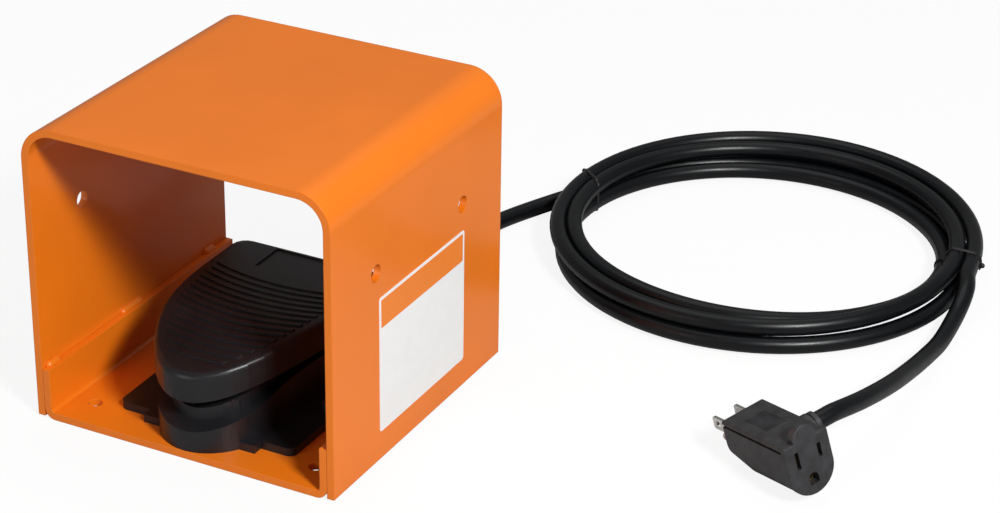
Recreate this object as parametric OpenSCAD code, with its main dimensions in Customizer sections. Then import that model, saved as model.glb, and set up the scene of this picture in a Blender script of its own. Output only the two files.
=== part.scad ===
// Guarded foot switch: a treadle pedal on a tiered base inside a bent plate
// guard, with a coiled mains cord that ends in a pass-through plug.
// Millimetres. X runs across the guard, Y from the open front to the rear,
// Z up from the underside of the floor pan. The origin is under the middle
// of the guard. Distances called "from front" start at the open front edge.

/* [Part choice] */
// Name of the one piece to draw, or "all" for the whole assembly

/* [Guard] */
// Outside width of the guard across both walls
guard_w = 165; // [140:1:200]
// Depth of the guard from the front opening to the rear opening
guard_d = 162.5; // [140:0.5:200]
// Height of the guard roof above the underside of the pan
guard_h = 154; // [120:1:190]
// Thickness of the steel plate
plate_t = 3.8; // [2:0.1:6]
// Outside radius of the two roof bends
guard_bend_r = 17.4; // [8:0.1:30]
// Height of the wall bottoms above the underside of the pan
wall_lift = 1; // [0:0.1:3]
// Diameter of the holes in the side walls
wall_hole_d = 8.7; // [5:0.1:12]
// Distance between the two holes of one wall
wall_hole_pitch = 83; // [60:0.5:100]
// Height of the wall holes
wall_hole_z = 100; // [80:0.5:120]

/* [Floor pan] */
// Height of the upturned flanges of the pan
flange_h = 26.5; // [15:0.5:40]
// Outside radius of the pan bends
pan_bend_r = 5.6; // [4.2:0.1:10]
// Gap left between a pan flange and the guard wall
pan_gap = 0.15; // [0.05:0.05:0.5]
// Diameter of the fixing holes in the pan
pan_hole_d = 7; // [4:0.1:10]
// Distance across between the pan fixing holes
pan_hole_x = 124; // [100:1:140]
// Distance front to rear between the pan fixing holes
pan_hole_y = 126.5; // [100:0.5:140]

/* [Welds] */
// Radius of the fillet welds along the tops of the flanges
weld_r = 2.6; // [1.5:0.1:4]
// Straight length of the front and rear tacks
tack_l = 5; // [3:0.5:12]
// Straight length of the middle stitches
stitch_l = 13; // [8:0.5:30]
// Distance of the front tacks from front
tack_from_front = 8; // [5:0.5:15]
// Distance of the middle stitches from front
stitch_from_front = 74; // [60:0.5:90]
// Distance of the rear tacks from front
rear_tack_from_front = 145; // [130:0.5:155]

/* [Pedal] */
// Half the width of the pedal
pedal_half_w = 43.1; // [35:0.1:50]
// Length of the half-ellipse nose of the pedal
pedal_nose_l = 87; // [60:0.5:100]
// Length of the pedal from nose to rear edge
pedal_l = 120.7; // [100:0.1:130]
// Distance of the pedal nose from front
pedal_from_front = 0.3; // [0:0.1:5]
// Radius of the rear corners of the pedal
pedal_corner_r = 8; // [4:0.5:15]
// Height of the flat rear part of the pedal top
pedal_top_z = 54; // [45:0.5:65]
// Radius of the long downward curve of the pedal towards its nose
pedal_crest_r = 224; // [150:1:400]
// Distance from front where that curve starts
crest_from_front = 65; // [50:0.5:80]
// Height of the pedal skirt
skirt_h = 14; // [8:0.5:20]
// Wall thickness of the pedal and of the base
shell_t = 2.5; // [1.5:0.1:4]
// Rounding of the top edge of the pedal
pedal_edge_r = 3; // [1:0.1:5]
// Width of one tread rib
rib_w = 1.8; // [1:0.1:3]
// Height of one tread rib
rib_h = 0.7; // [0.3:0.1:1.5]
// Distance between the tread ribs
rib_pitch = 5.1; // [4:0.1:8]
// Plan radius of the tread ribs
rib_r = 111; // [80:1:160]
// Distance of the first tread rib from front
rib_from_front = 13.3; // [10:0.1:20]
// Number of tread ribs
rib_count = 15; // [10:1:18]
// Margin between the ends of the ribs and the edge of the pedal
rib_margin = 6.2; // [4:0.1:10]
// Width of the shallow panel at the rear of the pedal top
panel_w = 38; // [20:1:60]
// Length of that panel
panel_l = 20.7; // [10:0.1:25]
// Distance of that panel from front
panel_from_front = 97; // [90:0.5:100]
// Depth of that panel
panel_depth = 0.8; // [0.4:0.1:1.5]

/* [Base] */
// Half width of the lower tier behind its nose
base_half_w = 28.6; // [24:0.1:34]
// Half width of the lower tier at its rear
base_rear_half_w = 35.5; // [30:0.1:40]
// Length of the nose of the lower tier
base_nose_l = 35; // [25:0.5:50]
// Length of the lower tier
base_l = 125; // [110:0.5:135]
// Distance of the lower tier nose from front
base_from_front = 0.6; // [0:0.1:5]
// Height of the lower tier where it is flat
lower_top_z = 27.2; // [22:0.1:32]
// Half width of the upper tier behind its nose
upper_half_w = 23; // [18:0.1:28]
// Half width of the upper tier at its rear
upper_rear_half_w = 30.3; // [26:0.1:32]
// Length of the nose of the upper tier
upper_nose_l = 29; // [20:0.5:40]
// Distance of the upper tier nose from front
upper_from_front = 8.3; // [6:0.1:12]
// Height of the upper tier where it is flat
upper_top_z = 33.4; // [30:0.1:36]
// Radius of the long downward curve of both tiers
base_crest_r = 170; // [120:1:300]
// Half width over the mounting ears at their front
ear_half_w = 48.7; // [44:0.1:52]
// Extra half width of the ears at their rear
ear_flare = 1.2; // [0:0.1:3]
// Thickness of the mounting ears
ear_t = 4.2; // [3:0.1:6]
// Distance of the front edge of the ears from front
ear_from_front = 19.5; // [15:0.5:25]
// Length of the ears
ear_l = 94; // [80:0.5:105]
// Radius of the ear corners
ear_corner_r = 4; // [2:0.5:8]
// Thickness of the bottom cover
cover_t = 2; // [1.5:0.1:3]
// Half spacing across of the mounting screws
ear_screw_x = 42.3; // [40:0.1:45]
// Distances of the mounting screws from front
ear_screw_from_front = [64, 102];

/* [Hinge] */
// Distance of the hinge pin from front
hinge_from_front = 110; // [100:0.5:115]
// Height of the hinge pin
hinge_z = 38; // [36:0.1:42]
// Radius of the hinge pin
pin_r = 2; // [1.5:0.1:3]
// Radial play of the pedal on the pin
pin_play = 0.05; // [0.02:0.01:0.1]
// Wall round the pin in the lugs and posts
lug_wall = 2.6; // [2:0.1:4]
// Thickness of one lug or post
lug_t = 4; // [3:0.1:6]

/* [Snap switch] */
// Length, width and height of the snap switch
snap_size = [10.3, 27.8, 15.9];
// Distance of the front end of the snap switch from front
snap_from_front = 50; // [45:0.5:60]
// Height of its underside
snap_z = 12.5; // [10:0.1:14]
// Rest angle of its lever above level
lever_rise = 17; // [10:0.5:20]
// Length of its lever
lever_l = 23; // [15:0.5:25]
// Width of its lever
lever_w = 6; // [3:0.1:8]
// Thickness of its lever
lever_t = 0.5; // [0.3:0.05:1]

/* [Return spring] */
// Distance of the return spring from front
spring_from_front = 38; // [30:0.5:45]
// Mean radius of the return spring
spring_r = 5.4; // [4:0.1:7]
// Wire diameter of the return spring
spring_wire_d = 1.1; // [0.8:0.1:2]
// Number of turns of the return spring
spring_turns = 5; // [4:1:8]

/* [Cord] */
// Diameter of the cord
cord_d = 9; // [6:0.1:12]
// Height of the cord where it leaves the base
cord_exit_z = 14; // [12:0.1:16]
// Length of the strain relief behind the base
relief_l = 24; // [20:0.5:40]

/* [Coil] */
// Middle of the coil across and along
coil_centre = [156, 242.5];
// Smallest centreline radius, halfway through the coil
coil_r = 98; // [80:0.5:130]
// Change of radius in one turn
coil_pitch = 10.2; // [9.5:0.1:14]
// Number of turns
coil_turns = 3.4167; // [2:0.0001:4]
// Turn at which the spiral reverses and climbs to the upper layer
coil_reverse_turn = 1.53; // [0.5:0.01:3]
// How far the upper layer lies off the lower one, across and to the rear
coil_layer_shift = [-1, 7];
// Direction from the middle to the start of the coil, in degrees
coil_start_angle = 160; // [0:1:359]
// Height of the bottom layer centreline
coil_low_z = 5.6; // [5:0.1:8]
// Height from one layer to the next
coil_layer_z = 9.5; // [9.4:0.1:12]
// Width of a tie band
tie_w = 3; // [2:0.1:8]
// Thickness of a tie band
tie_t = 0.8; // [0.5:0.1:1.5]
// Gap between a tie band and the cord
tie_gap = 0.26; // [0.1:0.01:0.5]

/* [Plug] */
// Middle of the receptacle face of the plug
plug_pos = [268.9, 30.3, 23];
// Lean, roll and heading of the plug in degrees
plug_turn = [-3.5, -9, 61.9];
// Half width of the plug body
plug_half_w = 14; // [12:0.1:18]
// Length of the plug body
plug_l = 45; // [35:0.5:60]
// Height of the plug top above the level of the slots
plug_up = 9; // [7:0.1:12]
// Depth of the middle of the rounded underside below the slots
plug_round_down = 6; // [4:0.1:10]
// Length of the collar on the side of the plug
collar_l = 8; // [5:0.5:15]
// Radius of the collar
collar_r = 6.2; // [5:0.1:8]
// Distance of the collar behind the face
collar_from_face = 20; // [10:0.5:30]

/* [Hidden] */

// Smoothness of round features
fine = 64;
long_arc = 240;
hull_arc = 180;
nose_steps = 24;
corner_steps = 4;

// Colours
orange = [0.93, 0.32, 0.05];
black = [0.07, 0.07, 0.08];
steel = [0.72, 0.72, 0.74];
brass = [0.80, 0.62, 0.28];
weld_grey = [0.60, 0.32, 0.15];
switch_grey = [0.16, 0.16, 0.18];

// One overrun for every cut that has to pass a face
over = plate_t / 4;

front = -guard_d / 2;
inner_half = guard_w / 2 - plate_t;
floor_z = plate_t;

// Pedal heights
crest_y = front + crest_from_front;
pedal_y = front + pedal_from_front;
pedal_roof = shell_t + plate_t / 8;
far = guard_d * 2;

// Hinge
pin = [0, front + hinge_from_front, hinge_z];
lug_r = pin_r + lug_wall;
post_out = upper_rear_half_w;
post_in = post_out - lug_t;
lug_in = post_out + pin_play * 14;
lug_out = lug_in + lug_t;
clip_t = pin_r * 0.3;
clip_r = pin_r * 1.9;
clip_groove_r = pin_r * 0.75;
clip_x = lug_out + pin_play * 4;
pin_half_l = clip_x + clip_t * 3.2;

// Base
cover_z = floor_z + plate_t / 12;
cover_top = cover_z + cover_t;
cover_fit = shell_t * 0.08;
small_screw_r = 1.45;
small_hole_r = small_screw_r + pin_play;
small_head_r = small_screw_r * 1.95;
small_head_h = small_screw_r * 1.1;
cover_screw_points = [
    [-16, 22],
    [16, 22],
    [-27, 100],
    [27, 100]
];
ear_screw_r = 2;
ear_hole_r = ear_screw_r * 1.15;
ear_tap_r = ear_screw_r + pin_play;
ear_head_r = ear_screw_r * 2;
ear_head_h = ear_screw_r * 1.25;
boss_r = small_screw_r * 2.3;
cord_hole_r = cord_d * 0.72;
cord_exit_y = front + base_from_front + base_l;

// Snap switch
snap_y = front + snap_from_front;
snap_top = snap_z + snap_size[2];
lever_pivot = [0, snap_y + snap_size[1] * 0.915, snap_top + lever_t * 1.8];
barrel_r = lever_t * 1.6;
plunger_y = lever_pivot[1] - snap_size[1] * 0.27;
plunger_r = snap_size[0] * 0.145;
plunger_top = lever_pivot[2] + (lever_pivot[1] - plunger_y) * tan(lever_rise) - lever_t * 1.25;
window_half = snap_size[0] * 0.62;
boss_y = snap_y + snap_size[1] * 0.29;
actuator_r = shell_t;
actuator_z = 37.8;
bracket_t = shell_t * 0.6;
screw_row = [snap_size[1] * 0.1, snap_size[1] * 0.9];
switch_screw_z = snap_z + snap_size[2] * 0.18;

// Spring
spring_y = front + spring_from_front;
spring_low = 32;
spring_high = 48.2;
spring_seat_r = spring_r + spring_wire_d * 1.6;
spring_pilot_r = spring_r - spring_wire_d;
spring_pilot_h = spring_r * 0.6;

// Cord
cord_r = cord_d / 2;
gland_flange_t = shell_t;
relief_start = cord_exit_y + gland_flange_t;
relief_end = relief_start + relief_l;
clamp_y = cord_exit_y - shell_t * 5;
clamp_l = cord_d * 0.8;
clamp_half = cord_d * 1.35;
clamp_screw_x = cord_d;
stub_start = clamp_y - clamp_l;
free_sides = 8;
coil_sides = 6;
rings_per_turn = 24;
free_steps = 3;

// Points of the cord between the strain relief and the coil
lead_points = [
    [0, 92, 11.5],
    [1, 108, 8],
    [2.5, 127, 5.2],
    [5.5, 152, 4.6],
    [10.5, 180, 4.6],
    [17.5, 209, 4.6],
    [28.5, 236, 4.8]
];

// Points of the cord between the coil and the plug
tail_points = [
    [276.5, 231, 11],
    [278.5, 205, 6],
    [279, 176, 4.6],
    [276.5, 149, 5.4],
    [271.5, 123, 9],
    [267.5, 100, 15],
    [265.5, 82, 21]
];

function unit(v) = v / norm(v);

// Centreline of the coil at t turns: the radius falls and rises again while
// the height climbs one layer in the half turn where it does so.
function climb(t) = min(1, max(0, (t - coil_reverse_turn + 0.25) / 0.5));
function soft(s) = s * s * (3 - 2 * s);
function coil_at(t) =
    let (r = coil_r + coil_pitch * abs(t - coil_reverse_turn))
    let (a = coil_start_angle - 360 * t)
    [
        coil_centre[0] + r * cos(a) + coil_layer_shift[0] * soft(climb(t)),
        coil_centre[1] + r * sin(a) + coil_layer_shift[1] * soft(climb(t)),
        coil_low_z + coil_layer_z * soft(climb(t))
    ];
function coil_heading(t) =
    let (a = coil_start_angle - 360 * t)
    [sin(a), -cos(a), 0];
coil_middle = [coil_centre[0], coil_centre[1], 0];
coil_steps = round(coil_turns * rings_per_turn);
coil_begin = coil_at(0) - cord_d * coil_heading(0);
coil_finish = coil_at(coil_turns) + cord_d * coil_heading(coil_turns);
coil_path = concat(
    [coil_begin],
    [for (i = [0:coil_steps]) coil_at(coil_turns * i / coil_steps)],
    [coil_finish]
);

// Smallest distance between the centreline of one loop and the next loops,
// less the cord diameter: the gap of the coil to itself.
gap_samples = coil_steps * 2;
coil_samples = [for (i = [0:gap_samples]) coil_at(coil_turns * i / gap_samples)];
function sample_gap(i) =
    min([for (j = [0:gap_samples]) j - i > rings_per_turn ? norm(coil_samples[j] - coil_samples[i]) : far]);
coil_gap = min([for (i = [0:gap_samples]) sample_gap(i)]) - cord_d;
echo(coil_gap_mm = coil_gap);

// Turning a vector by the pose of the plug
function turn_x(v, a) = [v[0], v[1] * cos(a) - v[2] * sin(a), v[1] * sin(a) + v[2] * cos(a)];
function turn_y(v, a) = [v[0] * cos(a) + v[2] * sin(a), v[1], -v[0] * sin(a) + v[2] * cos(a)];
function turn_z(v, a) = [v[0] * cos(a) - v[1] * sin(a), v[0] * sin(a) + v[1] * cos(a), v[2]];
function turned(v) = turn_z(turn_y(turn_x(v, plug_turn[0]), plug_turn[1]), plug_turn[2]);
collar_rise = plug_up * 0.22;
collar_end = plug_pos + turned([plug_half_w + collar_l, collar_from_face, collar_rise]);
collar_heading = turned([1, 0, 0]);

// A smooth curve through points, a few samples to each stretch
function smooth_at(a, b, c, d, s) =
    0.5 * (2 * b + (c - a) * s + (2 * a - 5 * b + 4 * c - d) * s * s + (3 * b - a - 3 * c + d) * s * s * s);
function smooth_path(p, n) = concat(
    [for (i = [1:len(p) - 3]) for (k = [0:n - 1]) smooth_at(p[i - 1], p[i], p[i + 1], p[i + 2], k / n)],
    [p[len(p) - 2]]
);
lead_start = [0, relief_end, cord_exit_z];
lead_path = concat(
    [lead_start],
    smooth_path(
        concat(
            [lead_start, lead_start + [0, cord_d, 0]],
            lead_points,
            [coil_begin - cord_d * coil_heading(0), coil_begin]
        ),
        free_steps
    ),
    [coil_begin]
);
tail_path = concat(
    [coil_finish],
    smooth_path(
        concat(
            [coil_finish, coil_finish + cord_d * coil_heading(coil_turns)],
            tail_points,
            [collar_end + cord_d * collar_heading, collar_end]
        ),
        free_steps
    ),
    [collar_end]
);

// A tube of given radius along a path, with flat ends square to the two
// headings given
function path_heading(p, i, h0, h1) =
    i == 0 ? h0 : i == len(p) - 1 ? h1 : unit(p[i + 1] - p[i - 1]);
module tube(p, r, sides, h0, h1) {
    rings = len(p);
    points = [
        for (i = [0:rings - 1])
            let (t = path_heading(p, i, h0, h1))
            let (s = unit(cross(t, [0, 0, 1])))
            let (u = cross(s, t))
            for (k = [0:sides - 1])
                let (a = 360 * (k + 0.5) / sides)
                p[i] + r * cos(a) * s + r * sin(a) * u
    ];
    quads = [
        for (i = [0:rings - 2])
            for (k = [0:sides - 1])
                [
                    i * sides + k,
                    (i + 1) * sides + k,
                    (i + 1) * sides + (k + 1) % sides,
                    i * sides + (k + 1) % sides
                ]
    ];
    first = [[for (k = [0:sides - 1]) k]];
    last = [[for (k = [sides - 1:-1:0]) (rings - 1) * sides + k]];
    polyhedron(points = points, faces = concat(first, quads, last), convexity = 10);
}

// Plan outline with a half-ellipse nose towards the front, sides that run to
// a rear half width, and rounded rear corners, all drawn in by an inset
function tongue(half_w, nose_l, rear_half_w, total_l, corner_r, inset) = concat(
    [
        for (i = [0:nose_steps])
            let (t = 180 + 180 * i / nose_steps)
            [(half_w - inset) * cos(t), nose_l + (nose_l - inset) * sin(t)]
    ],
    [
        for (i = [0:corner_steps])
            let (t = 90 * i / corner_steps)
            [
                rear_half_w - corner_r + (corner_r - inset / 2) * cos(t) - inset / 2,
                total_l - corner_r + (corner_r - inset / 2) * sin(t) - inset / 2
            ]
    ],
    [
        for (i = [0:corner_steps])
            let (t = 90 + 90 * i / corner_steps)
            [
                -rear_half_w + corner_r + (corner_r - inset / 2) * cos(t) + inset / 2,
                total_l - corner_r + (corner_r - inset / 2) * sin(t) - inset / 2
            ]
    ]
);

module pedal_plan(inset) {
    translate([0, pedal_y])
        polygon(tongue(pedal_half_w, pedal_nose_l, pedal_half_w, pedal_l, pedal_corner_r, inset));
}

module lower_plan(inset) {
    translate([0, front + base_from_front])
        polygon(tongue(base_half_w, base_nose_l, base_rear_half_w, base_l, pedal_corner_r, inset));
}

upper_l = base_l + base_from_front - upper_from_front - shell_t;
module upper_plan(inset) {
    translate([0, front + upper_from_front])
        polygon(tongue(upper_half_w, upper_nose_l, upper_rear_half_w, upper_l, pedal_corner_r, inset));
}

// Solid under a side profile that is flat at the rear and curves down
// towards the front with a long radius
module under_crest(flat_z, r, steps) {
    rotate([90, 0, 90])
        linear_extrude(guard_w, center = true) {
            translate([crest_y, 0])
                square([guard_d, flat_z]);
            intersection() {
                translate([crest_y, flat_z - r])
                    circle(r, $fn = steps);
                translate([front - plate_t, 0])
                    square([crest_from_front + plate_t + over, flat_z]);
            }
        }
}

// Upright extrusion of a side view drawn with Y across and Z up, from one X
// to another
module across(x0, x1) {
    translate([x0, 0, 0])
        rotate([90, 0, 90])
            linear_extrude(x1 - x0)
                children();
}

// Cylinder from one X to another about a line at given Y and Z
module rod_x(x0, x1, y, z, r) {
    translate([x0, y, z])
        rotate([0, 90, 0])
            cylinder(h = x1 - x0, r = r, $fn = fine);
}

module guard_outline(inset, low) {
    half = guard_w / 2 - inset;
    r = guard_bend_r - inset;
    top = guard_h - inset;
    translate([-half, low])
        square([half * 2, top - r - low]);
    translate([-half + r, top - r * 2])
        square([(half - r) * 2, r * 2]);
    for (s = [-1, 1])
        translate([s * (half - r), top - r])
            circle(r, $fn = fine);
}

module guard_hood() {
    color(orange)
        difference() {
            translate([0, guard_d / 2, 0])
                rotate([90, 0, 0])
                    linear_extrude(guard_d)
                        difference() {
                            guard_outline(0, wall_lift);
                            guard_outline(plate_t, wall_lift - over);
                        }
            for (y = [-wall_hole_pitch / 2, wall_hole_pitch / 2])
                rod_x(-guard_w, guard_w, y, wall_hole_z, wall_hole_d / 2);
        }
}

module pan_outline(inset) {
    half = inner_half - pan_gap - inset;
    r = pan_bend_r - inset;
    translate([-half, inset + r])
        square([half * 2, flange_h - inset - r + (inset > 0 ? over : 0)]);
    translate([-half + r, inset])
        square([(half - r) * 2, r * 2]);
    for (s = [-1, 1])
        translate([s * (half - r), inset + r])
            circle(r, $fn = fine);
}

module floor_pan() {
    color(orange)
        difference() {
            translate([0, guard_d / 2, 0])
                rotate([90, 0, 0])
                    linear_extrude(guard_d)
                        difference() {
                            pan_outline(0);
                            pan_outline(plate_t);
                        }
            for (x = [-pan_hole_x / 2, pan_hole_x / 2])
                for (y = [-pan_hole_y / 2, pan_hole_y / 2])
                    translate([x, y, -over])
                        cylinder(h = plate_t + over * 2, r = pan_hole_d / 2, $fn = fine);
            for (x = [-ear_screw_x, ear_screw_x])
                for (y = ear_screw_from_front)
                    translate([x, front + y, -over])
                        cylinder(h = plate_t + over * 2, r = ear_tap_r, $fn = fine);
        }
}

// One weld: a rounded bead laid in the corner between flange top and wall
module weld(length) {
    intersection() {
        union() {
            rotate([90, 0, 0])
                cylinder(h = length, r = weld_r, center = true, $fn = fine);
            for (s = [-1, 1])
                translate([0, s * length / 2, 0])
                    sphere(weld_r, $fn = fine);
        }
        translate([-weld_r * 2, -length, 0])
            cube([weld_r * 2, length * 2, weld_r * 2]);
    }
}

module weld_beads() {
    color(weld_grey)
        for (m = [0, 1])
            mirror([m, 0, 0])
                translate([inner_half, front, flange_h]) {
                    translate([0, tack_from_front, 0])
                        weld(tack_l);
                    translate([0, stitch_from_front, 0])
                        weld(stitch_l);
                    translate([0, rear_tack_from_front, 0])
                        weld(tack_l);
                }
}

module pedal_blank() {
    hull() {
        for (step = [[0, 1], [0.13, 0.5], [0.42, 0.16], [1, 0]])
            intersection() {
                linear_extrude(guard_h)
                    pedal_plan(pedal_edge_r * step[0]);
                under_crest(pedal_top_z - pedal_edge_r * step[1], pedal_crest_r, hull_arc);
            }
    }
}

module rib_plan() {
    intersection() {
        pedal_plan(rib_margin);
        union()
            for (i = [0:rib_count - 1])
                translate([0, front + rib_from_front + i * rib_pitch + rib_r])
                    difference() {
                        circle(rib_r + rib_w / 2, $fn = long_arc);
                        circle(rib_r - rib_w / 2, $fn = long_arc);
                    }
    }
}

module pedal() {
    color(black)
        difference() {
            union() {
                difference() {
                    pedal_blank();
                    under_crest(pedal_top_z - skirt_h, pedal_crest_r, long_arc);
                    intersection() {
                        linear_extrude(guard_h)
                            pedal_plan(shell_t);
                        under_crest(pedal_top_z - pedal_roof, pedal_crest_r, long_arc);
                    }
                }
                intersection() {
                    translate([0, 0, pedal_top_z - skirt_h])
                        linear_extrude(skirt_h * 2)
                            rib_plan();
                    difference() {
                        under_crest(pedal_top_z + rib_h, pedal_crest_r, long_arc);
                        under_crest(pedal_top_z - pedal_roof / 2, pedal_crest_r, long_arc);
                    }
                }
                for (m = [0, 1])
                    mirror([m, 0, 0])
                        across(lug_in, lug_out) {
                            translate([pin[1], pin[2]])
                                circle(lug_r, $fn = fine);
                            translate([pin[1] - lug_r, pin[2]])
                                square([lug_r * 2, pedal_top_z - pedal_roof / 2 - pin[2]]);
                        }
                across(-lever_w / 2, lever_w / 2) {
                    translate([boss_y, actuator_z])
                        circle(actuator_r, $fn = fine);
                    translate([boss_y - actuator_r, actuator_z])
                        square([actuator_r * 2, pedal_top_z - pedal_roof - actuator_z]);
                }
                translate([0, spring_y, spring_high])
                    cylinder(h = pedal_top_z - pedal_roof - spring_high, r = spring_seat_r, $fn = fine);
                translate([0, spring_y, spring_high - spring_pilot_h])
                    cylinder(h = spring_pilot_h + over, r = spring_pilot_r, $fn = fine);
            }
            for (m = [0, 1])
                mirror([m, 0, 0])
                    rod_x(lug_in - over, lug_out + over, pin[1], pin[2], pin_r + pin_play);
            translate([-panel_w / 2, front + panel_from_front, pedal_top_z - panel_depth])
                cube([panel_w, panel_l, pedal_edge_r]);
        }
}

module ear_plan() {
    y0 = front + ear_from_front;
    y1 = y0 + ear_l;
    rear_half = ear_half_w + ear_flare;
    for (m = [0, 1])
        mirror([m, 0])
            difference() {
                union() {
                    polygon([
                        [0, y0],
                        [ear_half_w - ear_corner_r, y0],
                        [ear_half_w, y0 + ear_corner_r],
                        [rear_half, y1 - ear_corner_r],
                        [rear_half - ear_corner_r, y1],
                        [0, y1]
                    ]);
                    translate([ear_half_w - ear_corner_r, y0 + ear_corner_r])
                        circle(ear_corner_r, $fn = fine);
                    translate([rear_half - ear_corner_r, y1 - ear_corner_r])
                        circle(ear_corner_r, $fn = fine);
                    translate([base_half_w * 0.72, y0 - ear_corner_r * 1.4])
                        square([base_half_w * 0.28 + ear_corner_r * 0.6, ear_corner_r * 2]);
                }
                translate([base_half_w + ear_corner_r * 0.6 + ear_corner_r, y0 - ear_corner_r])
                    circle(ear_corner_r, $fn = fine);
            }
}

module ear_places() {
    for (x = [-ear_screw_x, ear_screw_x])
        for (y = ear_screw_from_front)
            translate([x, front + y, 0])
                children();
}

module cover_places() {
    for (p = cover_screw_points)
        translate([p[0], front + p[1], 0])
            children();
}

module switch_base() {
    cavity_z = floor_z - over;
    color(black)
        difference() {
            union() {
                difference() {
                    union() {
                        intersection() {
                            translate([0, 0, floor_z])
                                linear_extrude(guard_h)
                                    lower_plan(0);
                            under_crest(lower_top_z, base_crest_r, long_arc);
                        }
                        intersection() {
                            translate([0, 0, floor_z])
                                linear_extrude(guard_h)
                                    upper_plan(0);
                            under_crest(upper_top_z, base_crest_r, long_arc);
                        }
                        translate([0, 0, floor_z])
                            linear_extrude(ear_t)
                                ear_plan();
                    }
                    intersection() {
                        translate([0, 0, cavity_z])
                            linear_extrude(guard_h)
                                lower_plan(shell_t);
                        under_crest(lower_top_z - shell_t, base_crest_r, long_arc);
                    }
                    intersection() {
                        translate([0, 0, cavity_z])
                            linear_extrude(guard_h)
                                upper_plan(shell_t);
                        under_crest(upper_top_z - shell_t, base_crest_r, long_arc);
                    }
                }
                intersection() {
                    cover_places()
                        translate([0, 0, cover_top])
                            cylinder(h = upper_top_z - cover_top, r = boss_r, $fn = fine);
                    under_crest(upper_top_z - shell_t / 2, base_crest_r, long_arc);
                }
                for (m = [0, 1])
                    mirror([m, 0, 0])
                        across(post_in, post_out) {
                            translate([pin[1], pin[2]])
                                circle(lug_r, $fn = fine);
                            translate([pin[1] - lug_r, upper_top_z - shell_t])
                                square([lug_r * 2, pin[2] - upper_top_z + shell_t]);
                        }
                translate([0, spring_y, upper_top_z - shell_t * 2.6])
                    cylinder(h = spring_low - upper_top_z + shell_t * 2.6, r = spring_seat_r, $fn = fine);
                translate([0, spring_y, spring_low - over])
                    cylinder(h = spring_pilot_h + over, r = spring_pilot_r, $fn = fine);
            }
            for (m = [0, 1])
                mirror([m, 0, 0])
                    rod_x(post_in - over, post_out + over, pin[1], pin[2], pin_r + pin_play);
            translate([-window_half, lever_pivot[1] - lever_l - lever_t * 4, snap_top + lever_t])
                cube([window_half * 2, lever_l + lever_t * 10, upper_top_z]);
            translate([0, cord_exit_y + over, cord_exit_z])
                rotate([90, 0, 0])
                    cylinder(h = shell_t * 2 + over, r = cord_hole_r, $fn = fine);
            ear_places()
                translate([0, 0, floor_z - over])
                    cylinder(h = ear_t + over * 2, r = ear_hole_r, $fn = fine);
            cover_places()
                translate([0, 0, cover_top - over])
                    cylinder(h = small_screw_r * 6, r = small_hole_r, $fn = fine);
        }
}

module base_cover() {
    color(black)
        difference() {
            translate([0, 0, cover_z])
                linear_extrude(cover_t)
                    lower_plan(shell_t + cover_fit);
            cover_places()
                translate([0, 0, cover_z - over]) {
                    cylinder(h = cover_t + over * 2, r = small_hole_r, $fn = fine);
                    cylinder(h = small_head_h + over, r = small_head_r + pin_play, $fn = fine);
                }
            for (x = [-clamp_screw_x, clamp_screw_x])
                translate([x, clamp_y, cover_z - over])
                    cylinder(h = cover_t + over * 2, r = small_hole_r, $fn = fine);
            bracket_places()
                translate([0, 0, cover_z - over])
                    cylinder(h = cover_t + over * 2, r = small_hole_r, $fn = fine);
        }
}

module cover_screws() {
    color(steel)
        cover_places()
            translate([0, 0, cover_z + pin_play]) {
                cylinder(h = small_screw_r * 6, r = small_screw_r, $fn = fine);
                cylinder(h = small_head_h - pin_play, r = small_head_r, $fn = fine);
            }
}

// Pan-head screw along +Z from its tip, with a cross recess in the head
module pan_screw(shank_r, shank_l, head_r, head_h) {
    difference() {
        union() {
            cylinder(h = shank_l, r = shank_r, $fn = fine);
            translate([0, 0, shank_l])
                cylinder(h = head_h * 0.6, r = head_r, $fn = fine);
            translate([0, 0, shank_l + head_h * 0.6])
                cylinder(h = head_h * 0.4, r1 = head_r, r2 = head_r * 0.7, $fn = fine);
        }
        for (a = [0, 90])
            rotate([0, 0, a])
                translate([-head_r / 2, -head_r / 10, shank_l + head_h / 2])
                    cube([head_r, head_r / 5, head_h]);
    }
}

module mounting_screws() {
    tip = plate_t / 10;
    color(steel)
        ear_places()
            translate([0, 0, tip])
                pan_screw(ear_screw_r, floor_z + ear_t - tip, ear_head_r, ear_head_h);
}

module hinge_pin() {
    color(steel)
        difference() {
            rod_x(-pin_half_l, pin_half_l, pin[1], pin[2], pin_r);
            for (m = [0, 1])
                mirror([m, 0, 0])
                    translate([clip_x, pin[1], pin[2]])
                        rotate([0, 90, 0])
                            difference() {
                                cylinder(h = clip_t * 1.2, r = pin_r * 2, $fn = fine);
                                translate([0, 0, -over])
                                    cylinder(h = clip_t * 1.2 + over * 2, r = clip_groove_r, $fn = fine);
                            }
        }
}

module pin_clips() {
    color(steel)
        for (m = [0, 1])
            mirror([m, 0, 0])
                translate([clip_x + clip_t * 0.1, pin[1], pin[2]])
                    rotate([0, 90, 0])
                        difference() {
                            cylinder(h = clip_t, r = clip_r, $fn = fine);
                            translate([0, 0, -over])
                                cylinder(h = clip_t + over * 2, r = clip_groove_r + pin_play, $fn = fine);
                            translate([0, -clip_groove_r * 0.8, -over])
                                cube([clip_r * 2, clip_groove_r * 1.6, clip_t + over * 2]);
                        }
}

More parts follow.
